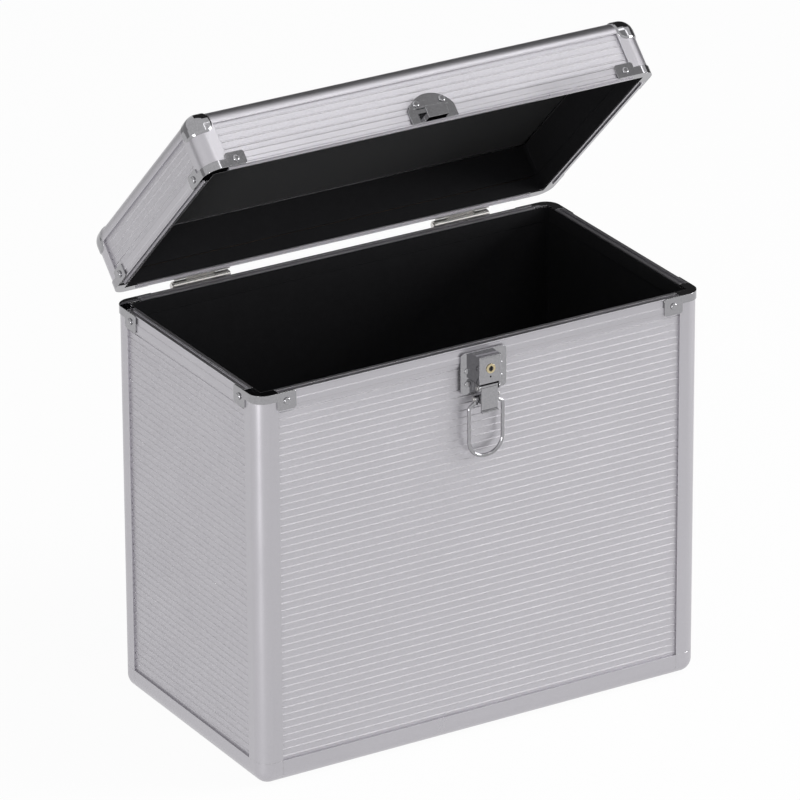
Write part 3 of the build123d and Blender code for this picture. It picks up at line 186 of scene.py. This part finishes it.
def startMaterial(name):
    # a material with its Principled shader in place, and the object's own coordinates
    material = bpy.data.materials.new(name)
    material.use_nodes = True
    tree = material.node_tree
    tree.nodes.clear()
    shader = tree.nodes.new("ShaderNodeBsdfPrincipled")
    output = tree.nodes.new("ShaderNodeOutputMaterial")
    tree.links.new(shader.outputs[0], output.inputs["Surface"])
    place = addNode(tree, "ShaderNodeTexCoord").outputs["Object"]
    return material, tree, shader, place


def metalMaterial(name, look, turn=(0.0, 0.0, 0.0)):
    # look: colours, roughness and grain of one metal finish; turn brings the piece's length onto X
    material, tree, shader, place = startMaterial(name)
    place = turnPlace(tree, place, turn)
    rubbed = placeGroup(tree, edgeRub, {"Vector": place, "Radius": look["edge"] * mm, "Rub": look["rub"]})
    grain = placeGroup(tree, metalGrain, {
        "Vector": place, "Speck Size": look["speck"], "Streak Size": look["streak"],
        "Streaks": look["streaks"]})
    marks = placeGroup(tree, handling, {"Vector": place, "Smudge Size": look["smudge"]})
    speckShare = rangeNode(tree, grain["Speck"], 0.35, 0.65, 0.0, 1.0)
    mottled = mixColours(tree, speckShare, look["dark"], look["light"])
    base = mixColours(tree, rubbed["Mask"], mottled, look["worn"])
    # painted shade: the key plug's middle is darkened where its recess lies
    if "paintedShade" in look:
        base = paintMiddleShade(tree, place, base, look["paintedShade"])
    tree.links.new(base, shader.inputs["Base Color"])
    rough = rangeNode(tree, marks["Smudge"], 0.3, 0.7, look["rough"][0], look["rough"][1])
    rough = mathNode(tree, "ADD", rough, mathNode(tree, "MULTIPLY", marks["Scratch"], look["scratch"]))
    rough = mathNode(tree, "MULTIPLY_ADD", rubbed["Mask"], -look["polish"], rough, clamp=True)
    tree.links.new(rough, shader.inputs["Roughness"])
    height = mathNode(tree, "MULTIPLY_ADD", marks["Scratch"], -0.5 * look["scratch"], grain["Height"])
    bumpNode(tree, shader, look["bump"], look["depth"], height, rubbed["Normal"])
    shader.inputs["Metallic"].default_value = look["metallic"]
    return material


def paintMiddleShade(tree, place, base, paintedShade):
    # paints shade into the key plug's middle: darkens what lies near a line along Y, by the distance in the XZ
    # plane against two radii
    flatPlace = vectorNode(tree, "MULTIPLY", place, (1.0, 0.0, 1.0))[0]
    away = vectorNode(tree, "DISTANCE", flatPlace, (0.0, 0.0, paintedShade["height"] * mm))["Value"]
    share = rangeNode(tree, away, paintedShade["inside"] * mm, paintedShade["outside"] * mm, 0.0, 1.0)
    return mixColours(tree, share, paintedShade["colour"], base)


def grey(level, tint=(1.0, 1.0, 1.0)):
    return tuple(level * t for t in tint) + (1.0,)


# edge, depth and the measures of the painted shade in the key's middle are in millimetres; speck, streak and
# smudge are noise scales
cool, chromeTint, nickelTint = (0.995, 0.970, 1.03), (0.99, 0.98, 1.02), (1.02, 1.0, 0.97)
skinLook = dict(
    dark=grey(0.42, cool), light=grey(0.55, cool), worn=grey(0.92), rough=(0.36, 0.46), metallic=0.85,
    edge=0.22, rub=1.0, polish=0.12, speck=1500.0, streak=2400.0, streaks=0.15, smudge=22.0,
    scratch=0.12, bump=0.5, depth=0.02)
profileLook = dict(
    dark=grey(0.44, cool), light=grey(0.50, cool), worn=grey(0.82), rough=(0.27, 0.36), metallic=0.9,
    edge=0.3, rub=0.7, polish=0.08, speck=2600.0, streak=3000.0, streaks=0.8, smudge=18.0,
    scratch=0.12, bump=0.35, depth=0.012)
chromeLook = dict(
    dark=grey(0.30, chromeTint), light=grey(0.35, chromeTint), worn=grey(0.70), rough=(0.03, 0.10),
    metallic=1.0, edge=0.4, rub=0.5, polish=0.02, speck=900.0, streak=1500.0, streaks=0.3, smudge=45.0,
    scratch=0.18, bump=0.12, depth=0.006)
nickelLook = dict(
    dark=grey(0.52, nickelTint), light=grey(0.60, nickelTint), worn=grey(0.72), rough=(0.16, 0.28),
    metallic=1.0, edge=0.25, rub=0.6, polish=0.05, speck=1400.0, streak=2200.0, streaks=0.5, smudge=40.0,
    scratch=0.15, bump=0.25, depth=0.01)
rivetLook = dict(
    dark=grey(0.60), light=grey(0.70), worn=grey(0.80), rough=(0.18, 0.30), metallic=1.0,
    edge=0.15, rub=0.5, polish=0.05, speck=2200.0, streak=2600.0, streaks=0.2, smudge=90.0,
    scratch=0.1, bump=0.25, depth=0.01)
steelLook = dict(
    dark=grey(0.42), light=grey(0.52), worn=grey(0.70), rough=(0.24, 0.36), metallic=1.0,
    edge=0.2, rub=0.8, polish=0.08, speck=2000.0, streak=2800.0, streaks=0.6, smudge=80.0,
    scratch=0.15, bump=0.3, depth=0.012)
brassLook = dict(
    dark=(0.50, 0.42, 0.26, 1.0), light=(0.62, 0.53, 0.34, 1.0), worn=(0.82, 0.74, 0.54, 1.0),
    rough=(0.18, 0.32), metallic=1.0, edge=0.15, rub=0.8, polish=0.06, speck=2600.0, streak=3600.0,
    streaks=0.4, smudge=120.0, scratch=0.15, bump=0.3, depth=0.01,
    # painted shade in the key plug's middle: near black within 1.6 mm of its axis, fading out by 2.0 mm
    paintedShade=dict(height=277.0, inside=1.6, outside=2.0, colour=grey(0.05)))

alongY, alongZ = (0.0, 0.0, -90.0), (0.0, 90.0, 0.0)
lidDeep, lidUpright = (0.0, 45.0, -90.0), (0.0, 45.0, 90.0)  # the lid's pieces lie turned by its tilt


def clothMaterial():
    # black napped cloth: short fibres under a faint, slower nap
    look = dict(dark=grey(0.004, (0.95, 0.95, 1.15)), light=grey(0.012, (0.97, 0.97, 1.12)),
                fibre=2600.0, nap=160.0, depth=0.25, sheen=0.04, sheenRough=0.5, gloss=0.12)
    material, tree, shader, place = startMaterial("liningCloth")
    fibre = noiseNode(tree, place, look["fibre"], 3.0, 0.7)
    nap = noiseNode(tree, place, look["nap"], 4.0, 0.6)
    fibreShare = rangeNode(tree, fibre, 0.35, 0.7, 0.0, 1.0)
    share = mathNode(tree, "MULTIPLY", fibreShare, rangeNode(tree, nap, 0.3, 0.7, 0.5, 1.0))
    tree.links.new(mixColours(tree, share, look["dark"], look["light"]), shader.inputs["Base Color"])
    tree.links.new(rangeNode(tree, fibre, 0.3, 0.7, 0.95, 0.78), shader.inputs["Roughness"])
    bumpNode(tree, shader, 0.8, look["depth"], mathNode(tree, "MULTIPLY_ADD", nap, 0.6, fibre))
    shader.inputs["Sheen Weight"].default_value = look["sheen"]
    shader.inputs["Sheen Roughness"].default_value = look["sheenRough"]
    shader.inputs["Specular IOR Level"].default_value = look["gloss"]
    return material


def boardMaterial():
    # brown hardboard: pressed fibres with broad clouds
    look = dict(dark=(0.13, 0.075, 0.04, 1.0), light=(0.26, 0.16, 0.09, 1.0), fibre=420.0,
                cloud=40.0, depth=0.1)
    material, tree, shader, place = startMaterial("hardboard")
    fibre = noiseNode(tree, place, look["fibre"], 6.0, 0.75)
    cloud = noiseNode(tree, place, look["cloud"], 3.0)
    fibreShare = rangeNode(tree, fibre, 0.3, 0.7, 0.0, 1.0)
    share = mathNode(tree, "MULTIPLY", fibreShare, rangeNode(tree, cloud, 0.3, 0.7, 0.6, 1.0))
    tree.links.new(mixColours(tree, share, look["dark"], look["light"]), shader.inputs["Base Color"])
    tree.links.new(rangeNode(tree, fibre, 0.3, 0.7, 0.85, 0.65), shader.inputs["Roughness"])
    bumpNode(tree, shader, 0.5, look["depth"], fibre)
    return material


def mouldedMaterial(name, look):
    # moulded plastic or rubber: pebbled skin from cell distances, rubbed paler on edges
    material, tree, shader, place = startMaterial(name)
    rubbed = placeGroup(tree, edgeRub, {"Vector": place, "Radius": look["edge"] * mm, "Rub": look["rub"]})
    marks = placeGroup(tree, handling, {"Vector": place, "Smudge Size": look["smudge"]})
    cells = addNode(tree, "ShaderNodeTexVoronoi", {"Vector": place, "Scale": look["pebble"]})
    pebble = rangeNode(tree, cells.outputs["Distance"], 0.0, 0.7, 1.0, 0.0, smooth=True)
    smudgeShare = rangeNode(tree, marks["Smudge"], 0.3, 0.7, 0.0, 1.0)
    base = mixColours(tree, smudgeShare, look["dark"], look["light"])
    tree.links.new(mixColours(tree, rubbed["Mask"], base, look["worn"]), shader.inputs["Base Color"])
    rough = rangeNode(tree, pebble, 0.0, 1.0, look["rough"][1], look["rough"][0])
    rough = mathNode(tree, "MULTIPLY_ADD", marks["Scratch"], look["scratch"], rough, clamp=True)
    tree.links.new(rough, shader.inputs["Roughness"])
    bumpNode(tree, shader, look["bump"], look["depth"], pebble, rubbed["Normal"])
    return material


gripLook = dict(dark=grey(0.018), light=grey(0.028), worn=grey(0.07), rough=(0.38, 0.55), edge=0.6, rub=0.5,
                smudge=60.0, scratch=0.15, pebble=1100.0, bump=0.35, depth=0.08)
rubberLook = dict(dark=grey(0.020), light=grey(0.035), worn=grey(0.06), rough=(0.62, 0.80), edge=0.4, rub=0.5,
                  smudge=120.0, scratch=0.15, pebble=1600.0, bump=0.4, depth=0.06)
cloth = clothMaterial()

# each finish and the pieces that wear it
finishes = [
    (metalMaterial("skinFlat", skinLook),
     ["body_front_skin", "body_back_skin", "body_side_skins", "lid_top_skin", "lid_front_skin",
      "lid_back_skin", "lid_side_skins"]),
    (metalMaterial("profileAcross", profileLook),
     ["body_base_profiles_long", "body_rim_front", "body_rim_back", "lid_edge_profiles_long",
      "lid_rim_front", "lid_rim_back"]),
    (metalMaterial("profileDeep", profileLook, alongY), ["body_base_profiles_short", "body_rim_sides"]),
    (metalMaterial("profileUpright", profileLook, alongZ), ["body_corner_profiles", "base_corner_caps"]),
    (metalMaterial("profileLidDeep", profileLook, lidDeep), ["lid_edge_profiles_short", "lid_rim_sides"]),
    (metalMaterial("profileLidUpright", profileLook, lidUpright), ["lid_corner_profiles"]),
    (metalMaterial("chromePlate", chromeLook),
     ["body_rim_brackets", "lid_rim_brackets", "lid_ball_corners", "latch_base_plate",
      "latch_lock_housing", "latch_lever", "latch_loop", "keeper_plate", "body_bracket_rivets",
      "lid_bracket_rivets", "latch_plate_rivets", "keeper_rivets"]),
    (metalMaterial("nickelPlate", nickelLook),
     ["hinge_body_leaves", "hinge_lid_leaves", "hinge_pins", "handle_mounts", "handle_pins",
      "latch_loop_rod", "latch_lever_pin"]),
    (metalMaterial("rivetAluminium", rivetLook), ["hinge_body_rivets", "hinge_lid_rivets"]),
    (metalMaterial("screwSteel", steelLook), ["foot_screws", "handle_mount_screws"]),
    (metalMaterial("keyBrass", brassLook), ["latch_key_plug"]),
    (boardMaterial(),
     ["body_front_board", "body_back_board", "body_side_boards", "body_bottom_board", "lid_top_board",
      "lid_front_board", "lid_back_board", "lid_side_boards"]),
    (mouldedMaterial("gripPlastic", gripLook), ["handle_grip"]),
    (mouldedMaterial("footRubber", rubberLook), ["feet"]),
]
for finish, names in finishes:
    for name in names:
        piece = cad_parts[name]
        piece.data.materials.clear()
        piece.data.materials.append(finish)
print("case: metal, plastic, rubber and board finishes assigned")


def gridObject(name, points, closeAlong):
    # points is a grid (along, across, 3); quads join neighbours. It wraps round across, and along if asked
    rows, columns = points.shape[:2]
    index = np.arange(rows * columns).reshape(rows, columns)
    if closeAlong:
        index = np.vstack([index, index[:1]])
    index = np.hstack([index, index[:, :1]])
    quads = np.stack([index[:-1, :-1], index[1:, :-1], index[1:, 1:], index[:-1, 1:]], axis=-1).reshape(-1, 4)
    mesh = bpy.data.meshes.new(name)
    faces = quads.tolist()
    if not closeAlong:
        faces += endStrips(index[:, :-1])
    mesh.from_pydata(points.reshape(-1, 3).tolist(), [], faces)
    mesh.polygons.foreach_set("use_smooth", np.ones(len(mesh.polygons), bool))
    mesh.materials.append(cloth)
    mesh.update()
    piece = bpy.data.objects.new(name, mesh)
    bpy.context.scene.collection.objects.link(piece)
    return piece


def endStrips(index):
    # fills the two open ends of a flattened tube with strips between facing points
    half = index.shape[1] // 2
    faces = []
    for row, flip in ((index[0], False), (index[-1], True)):
        near, far = row[:half], row[half:][::-1]
        strip = np.stack([near[:-1], near[1:], far[1:], far[:-1]], axis=1)
        faces += (strip[:, ::-1] if flip else strip).tolist()
    return faces


def roundedPath(halfX, halfY, radius, stepsStraight, stepsCorner):
    # walks round a rectangle with round corners, anticlockwise: points, outward normals and walked length
    angle = np.linspace(0.0, math.pi / 2, stepsCorner)
    points, normals = [], []
    for quarter, (signX, signY) in enumerate(((1, 1), (-1, 1), (-1, -1), (1, -1))):
        a = angle + quarter * math.pi / 2
        n = np.stack([np.cos(a), np.sin(a)], axis=1)
        centre = np.array([signX * (halfX - radius), signY * (halfY - radius)])
        points.append(centre + radius * n)
        normals.append(n)
    outPoints, outNormals = [], []
    for k in range(4):
        start, end = points[k][-1], points[(k + 1) % 4][0]
        t = np.linspace(0.0, 1.0, stepsStraight + 2)[1:-1, None]
        outPoints += [points[k], start + (end - start) * t]
        outNormals += [normals[k], np.repeat(normals[k][-1:], stepsStraight, axis=0)]
    outPoints, outNormals = np.vstack(outPoints), np.vstack(outNormals)
    walked = np.concatenate([[0.0], np.cumsum(np.linalg.norm(np.diff(outPoints, axis=0), axis=1))])
    return outPoints, outNormals, walked


# millimetres: the outer half sizes, the cloth's thickness, and how far it swells, waves and rolls at its hems
wallLining = dict(halfX=170.4, halfY=91.4, corner=4.0, thick=1.3, crown=0.45, pucker=0.12, puckers=31.0,
                  roll=0.6, straightSteps=60, cornerSteps=9, upSteps=26, rollSteps=7)
rimBinding = dict(wallLining, halfX=168.8, halfY=89.8, thick=0.5, crown=0.1, pucker=0.03, roll=0.25)
sheetLining = dict(halfX=168.9, halfY=89.9, thick=1.3, crown=0.6, fade=14.0, wave=0.10, waveX=23.0, waveY=19.0,
                   stepsX=120, stepsY=66)


def wallBand(name, lowZ, highZ, toFrame, w=wallLining):
    # a closed band: a thin rounded cross-section carried round the walls. The inner face swells between the
    # corners and its two ends by crown, and its hems pucker by a sine of the walked length
    path, normals, walked = roundedPath(
        w["halfX"], w["halfY"], w["corner"], w["straightSteps"], w["cornerSteps"])
    up = np.linspace(0.0, 1.0, w["upSteps"])
    roll = np.linspace(0.0, math.pi, w["rollSteps"] + 2)[1:-1]
    level, ends = np.zeros(w["upSteps"]), np.zeros(w["rollSteps"])
    innerH = lowZ + w["roll"] + (highZ - lowZ - 2 * w["roll"]) * up
    topH = highZ - w["roll"] + w["roll"] * np.sin(roll)
    lowH = lowZ + w["roll"] - w["roll"] * np.sin(roll)
    heights = np.concatenate([innerH, topH, innerH[::-1], lowH])
    depth = np.concatenate([level + 1.0, 0.5 + 0.5 * np.cos(roll), level, 0.5 - 0.5 * np.cos(roll)])
    inner = np.concatenate([np.sin(math.pi * up) ** 0.35, ends, level, ends])
    hem = np.concatenate([np.exp(-6 * up) + np.exp(-6 * (1 - up)), ends + 1.0, level, ends + 1.0])
    flat = np.clip(np.abs(normals).max(axis=1) * 20 - 19, 0.0, 1.0)[:, None]  # 1 on the straight sides
    wave = np.sin(walked * 2 * math.pi / w["puckers"])[:, None] * w["pucker"]
    reach = depth * (w["thick"] + inner * w["crown"] * flat) + wave * hem * depth
    xy = path[:, None, :] - normals[:, None, :] * reach[:, :, None]
    z = np.broadcast_to(heights[None, :], reach.shape)
    return gridObject(name, toFrame(np.dstack([xy, z])), True)


def sheetPad(name, level, side, toFrame):
    # a closed pad: a flat face on the board and a crowned face. Its height falls to the edge as
    # 1 - exp(-distance / fade), with slow waves of two sines
    s = sheetLining
    u = np.linspace(-1.0, 1.0, s["stepsX"])
    v = np.linspace(-1.0, 1.0, s["stepsY"])
    gridU, gridV = np.meshgrid(u, v, indexing="ij")
    x, y = gridU * s["halfX"], gridV * s["halfY"]
    gap = np.minimum(s["halfX"] - np.abs(x), s["halfY"] - np.abs(y))
    rise = 1 - np.exp(-gap / s["fade"])
    waves = s["wave"] * np.sin(x / s["waveX"] + 1.3) * np.sin(y / s["waveY"] + 0.4)
    top = level + side * (s["thick"] + (s["crown"] + waves) * rise)
    upper, lower = np.dstack([x, y, top]), np.dstack([x, y, np.full_like(x, level)])
    halves = [lower[:, ::-1], upper] if side > 0 else [upper, lower[:, ::-1]]
    return gridObject(name, toFrame(np.concatenate(halves, axis=1)), False)


def bodyFrame(local):
    return local * mm + np.array([0.0, bodyMiddle, 0.0])


def lidFrame(local):
    # x stays, the lid's own y runs along lidBack and its height along lidUp
    x, y, z = (local[..., k:k + 1] for k in range(3))
    return lidOrigin + mm * (x * np.array([1.0, 0.0, 0.0]) + y * lidBack + z * lidUp)


def dressCloth(piece, body, node):
    # rides on its body; node is the CAD solid it stands for, or None for a binding, which has no solid
    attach(piece, body)
    if node:
        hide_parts(node)


def orientOut(piece):
    # on a closed shell the faces are turned to point outwards
    shell = bmesh.new()
    shell.from_mesh(piece.data)
    bmesh.ops.recalc_face_normals(shell, faces=shell.faces)
    shell.to_mesh(piece.data)
    shell.free()


# heights in millimetres: a band's lower and upper edge, or a sheet's flat face and the way it swells
linings = [
    (wallBand("bodyWallCloth", 9.4, 279.4, bodyFrame), "case_body", "body_wall_lining"),
    (sheetPad("bodyFloorCloth", 7.15, 1.0, bodyFrame), "case_body", "body_floor_lining"),
    (wallBand("lidWallCloth", 12.2, 36.6, lidFrame), "lid", "lid_wall_lining"),
    (wallBand("bodyRimBinding", 279.9, 290.6, bodyFrame, rimBinding), "case_body", None),
    (wallBand("lidRimBinding", 0.9, 11.6, lidFrame, rimBinding), "lid", None),
    (sheetPad("lidRoofCloth", 38.35, -1.0, lidFrame), "lid", "lid_top_lining"),
]
for piece, body, node in linings:
    orientOut(piece)
    dressCloth(piece, body, node)
print("case: cloth linings made")

# metres, apart from floorLevel in millimetres; whiteShare is how far the floor looks plain white
studio = dict(floorTone=0.86, floorHalf=12.0, floorLevel=-0.1, whiteShare=0.95, worldLight=0.5)

# name, place, aim, width, height, power in watts
lamps = [
    ("sideKey", (1.9, -1.1, 0.75), (0, -0.05, 0.2), 0.9, 0.9, 36.0),
    ("topSoft", (0.95, -0.84, 1.95), (0, 0, 0.2), 1.2, 0.9, 8.5),
    ("leftFill", (-1.8, -1.0, 0.9), (0, 0, 0.2), 1.2, 1.2, 2.0),
    ("lowStrip", (-1.3, -0.78, 0.22), (-0.17, -0.10, 0.15), 0.3, 0.4, 8.0),
]

# name, place, aim, width, height, tone of the cards that only reflections see
cards = [
    ("ceilingCard", (1.3, 1.4, 1.6), (0, 0, 0.4), 2.6, 2.6, 0.04),
    ("backLeftCard", (-0.9, 1.3, 0.1), (0, 0, 0.2), 2.2, 1.4, 0.45),
    ("frontRightCard", (0.55, -0.95, -0.02), (0, 0, 0.25), 0.9, 0.5, 0.42),
    ("backRightCard", (0.95, 1.2, -0.02), (0, 0, 0.2), 1.2, 0.9, 0.2),
    ("lidCard", (1.0, -0.85, 1.85), (0, 0, 0.4), 0.8, 0.7, 0.45),
    ("farRightCard", (2.2, 0.4, 0.5), (0, 0, 0.3), 1.4, 1.6, 0.12),
]


def stagePlane(name, halfX, halfY, z, materialName):
    # a plain rectangle outside the case, with an empty material
    mesh = bpy.data.meshes.new(name)
    corners = [(-halfX, -halfY, z), (halfX, -halfY, z), (halfX, halfY, z), (-halfX, halfY, z)]
    mesh.from_pydata(corners, [], [(0, 1, 2, 3)])
    plane = bpy.data.objects.new(name, mesh)
    bpy.context.scene.collection.objects.link(plane)
    material = bpy.data.materials.new(materialName)
    material.use_nodes = True
    tree = material.node_tree
    tree.nodes.clear()
    mesh.materials.append(material)
    return plane, tree, tree.nodes.new("ShaderNodeOutputMaterial").inputs["Surface"]


def seenShare(tree):
    # 1 where the camera, a reflection or a transmission sees the surface, 0 for the light it gives
    rays = addNode(tree, "ShaderNodeLightPath").outputs
    indirect = mathNode(tree, "MAXIMUM", rays["Is Glossy Ray"], rays["Is Transmission Ray"])
    return mathNode(tree, "MAXIMUM", rays["Is Camera Ray"], indirect)


def facing(place, aim):
    return (Vector(aim) - Vector(place)).to_track_quat("-Z", "Y").to_euler()


def studioFloor():
    # a plain pale floor, nearly white where it is seen, that keeps part of the shadow
    half = studio["floorHalf"]
    floor, tree, surface = stagePlane("studioFloor", half, half, studio["floorLevel"] * mm, "paleFloor")
    matte = addNode(tree, "ShaderNodeBsdfDiffuse", {"Color": grey(studio["floorTone"])}).outputs[0]
    glow = addNode(tree, "ShaderNodeEmission", {"Color": grey(1.0), "Strength": 1.0}).outputs[0]
    share = mathNode(tree, "MULTIPLY", seenShare(tree), studio["whiteShare"])
    mix = addNode(tree, "ShaderNodeMixShader", {0: share, 1: matte, 2: glow}).outputs[0]
    tree.links.new(mix, surface)


def studioWorld():
    # white where it is seen, and a soft even light otherwise
    world = bpy.data.worlds.new("studioWorld")
    bpy.context.scene.world = world
    world.use_nodes = True
    tree = world.node_tree
    tree.nodes.clear()
    strength = rangeNode(tree, seenShare(tree), 0.0, 1.0, studio["worldLight"], 1.0)
    back = addNode(tree, "ShaderNodeBackground", {"Color": grey(1.0), "Strength": strength}).outputs[0]
    tree.links.new(back, tree.nodes.new("ShaderNodeOutputWorld").inputs["Surface"])


def reflectorCard(name, place, aim, width, height, tone):
    # a grey card that only reflections see, so that bright metal has something dark to mirror
    card, tree, surface = stagePlane(name, width / 2, height / 2, 0.0, name)
    card.location = place
    card.rotation_euler = facing(place, aim)
    glow = addNode(tree, "ShaderNodeEmission", {"Color": grey(tone), "Strength": 1.0}).outputs[0]
    tree.links.new(glow, surface)
    card.visible_camera = False
    card.visible_diffuse = False
    card.visible_shadow = False
    card.visible_transmission = False


def softLamp(name, place, aim, width, height, power):
    data = bpy.data.lights.new(name, "AREA")
    data.shape = "RECTANGLE"
    data.size = width
    data.size_y = height
    data.energy = power
    lamp = bpy.data.objects.new(name, data)
    bpy.context.scene.collection.objects.link(lamp)
    lamp.location = place
    lamp.rotation_euler = facing(place, aim)
    lamp.visible_camera = False


studioFloor()
studioWorld()
for card in cards:
    reflectorCard(*card)
for lamp in lamps:
    softLamp(*lamp)

# degrees, metres and millimetres of lens; right and up slide the camera sideways in its own plane
cameraView = dict(azimuth=-30.943, elevation=23.67, roll=-0.277, distance=5.136, lens=333.0, sensor=36.0,
                  aim=(0.0, -0.010, 0.1247), right=-0.00640, up=0.0814, near=0.1, far=60.0)


def photoCamera():
    # stands at azimuth and elevation round the aim, turned about its own view by roll
    c = cameraView
    a, e, r = (math.radians(c[k]) for k in ("azimuth", "elevation", "roll"))
    back = np.array([math.sin(a) * math.cos(e), -math.cos(a) * math.cos(e), math.sin(e)])
    level = np.cross(-back, [0.0, 0.0, 1.0])
    level /= np.linalg.norm(level)
    above = np.cross(level, -back)
    right = math.cos(r) * level + math.sin(r) * above
    up = -math.sin(r) * level + math.cos(r) * above
    place = np.array(c["aim"]) + c["right"] * right + c["up"] * up + back * c["distance"]
    data = bpy.data.cameras.new("photoCamera")
    data.lens = c["lens"]
    data.sensor_width = c["sensor"]
    data.clip_start = c["near"]
    data.clip_end = c["far"]
    camera = bpy.data.objects.new("photoCamera", data)
    bpy.context.scene.collection.objects.link(camera)
    rows = [[right[i], up[i], back[i], place[i]] for i in range(3)]
    camera.matrix_world = Matrix(rows + [[0, 0, 0, 1]])
    bpy.context.scene.camera = camera


photoCamera()
bpy.context.scene.view_settings.view_transform = "Standard"
print("case: studio and camera set")
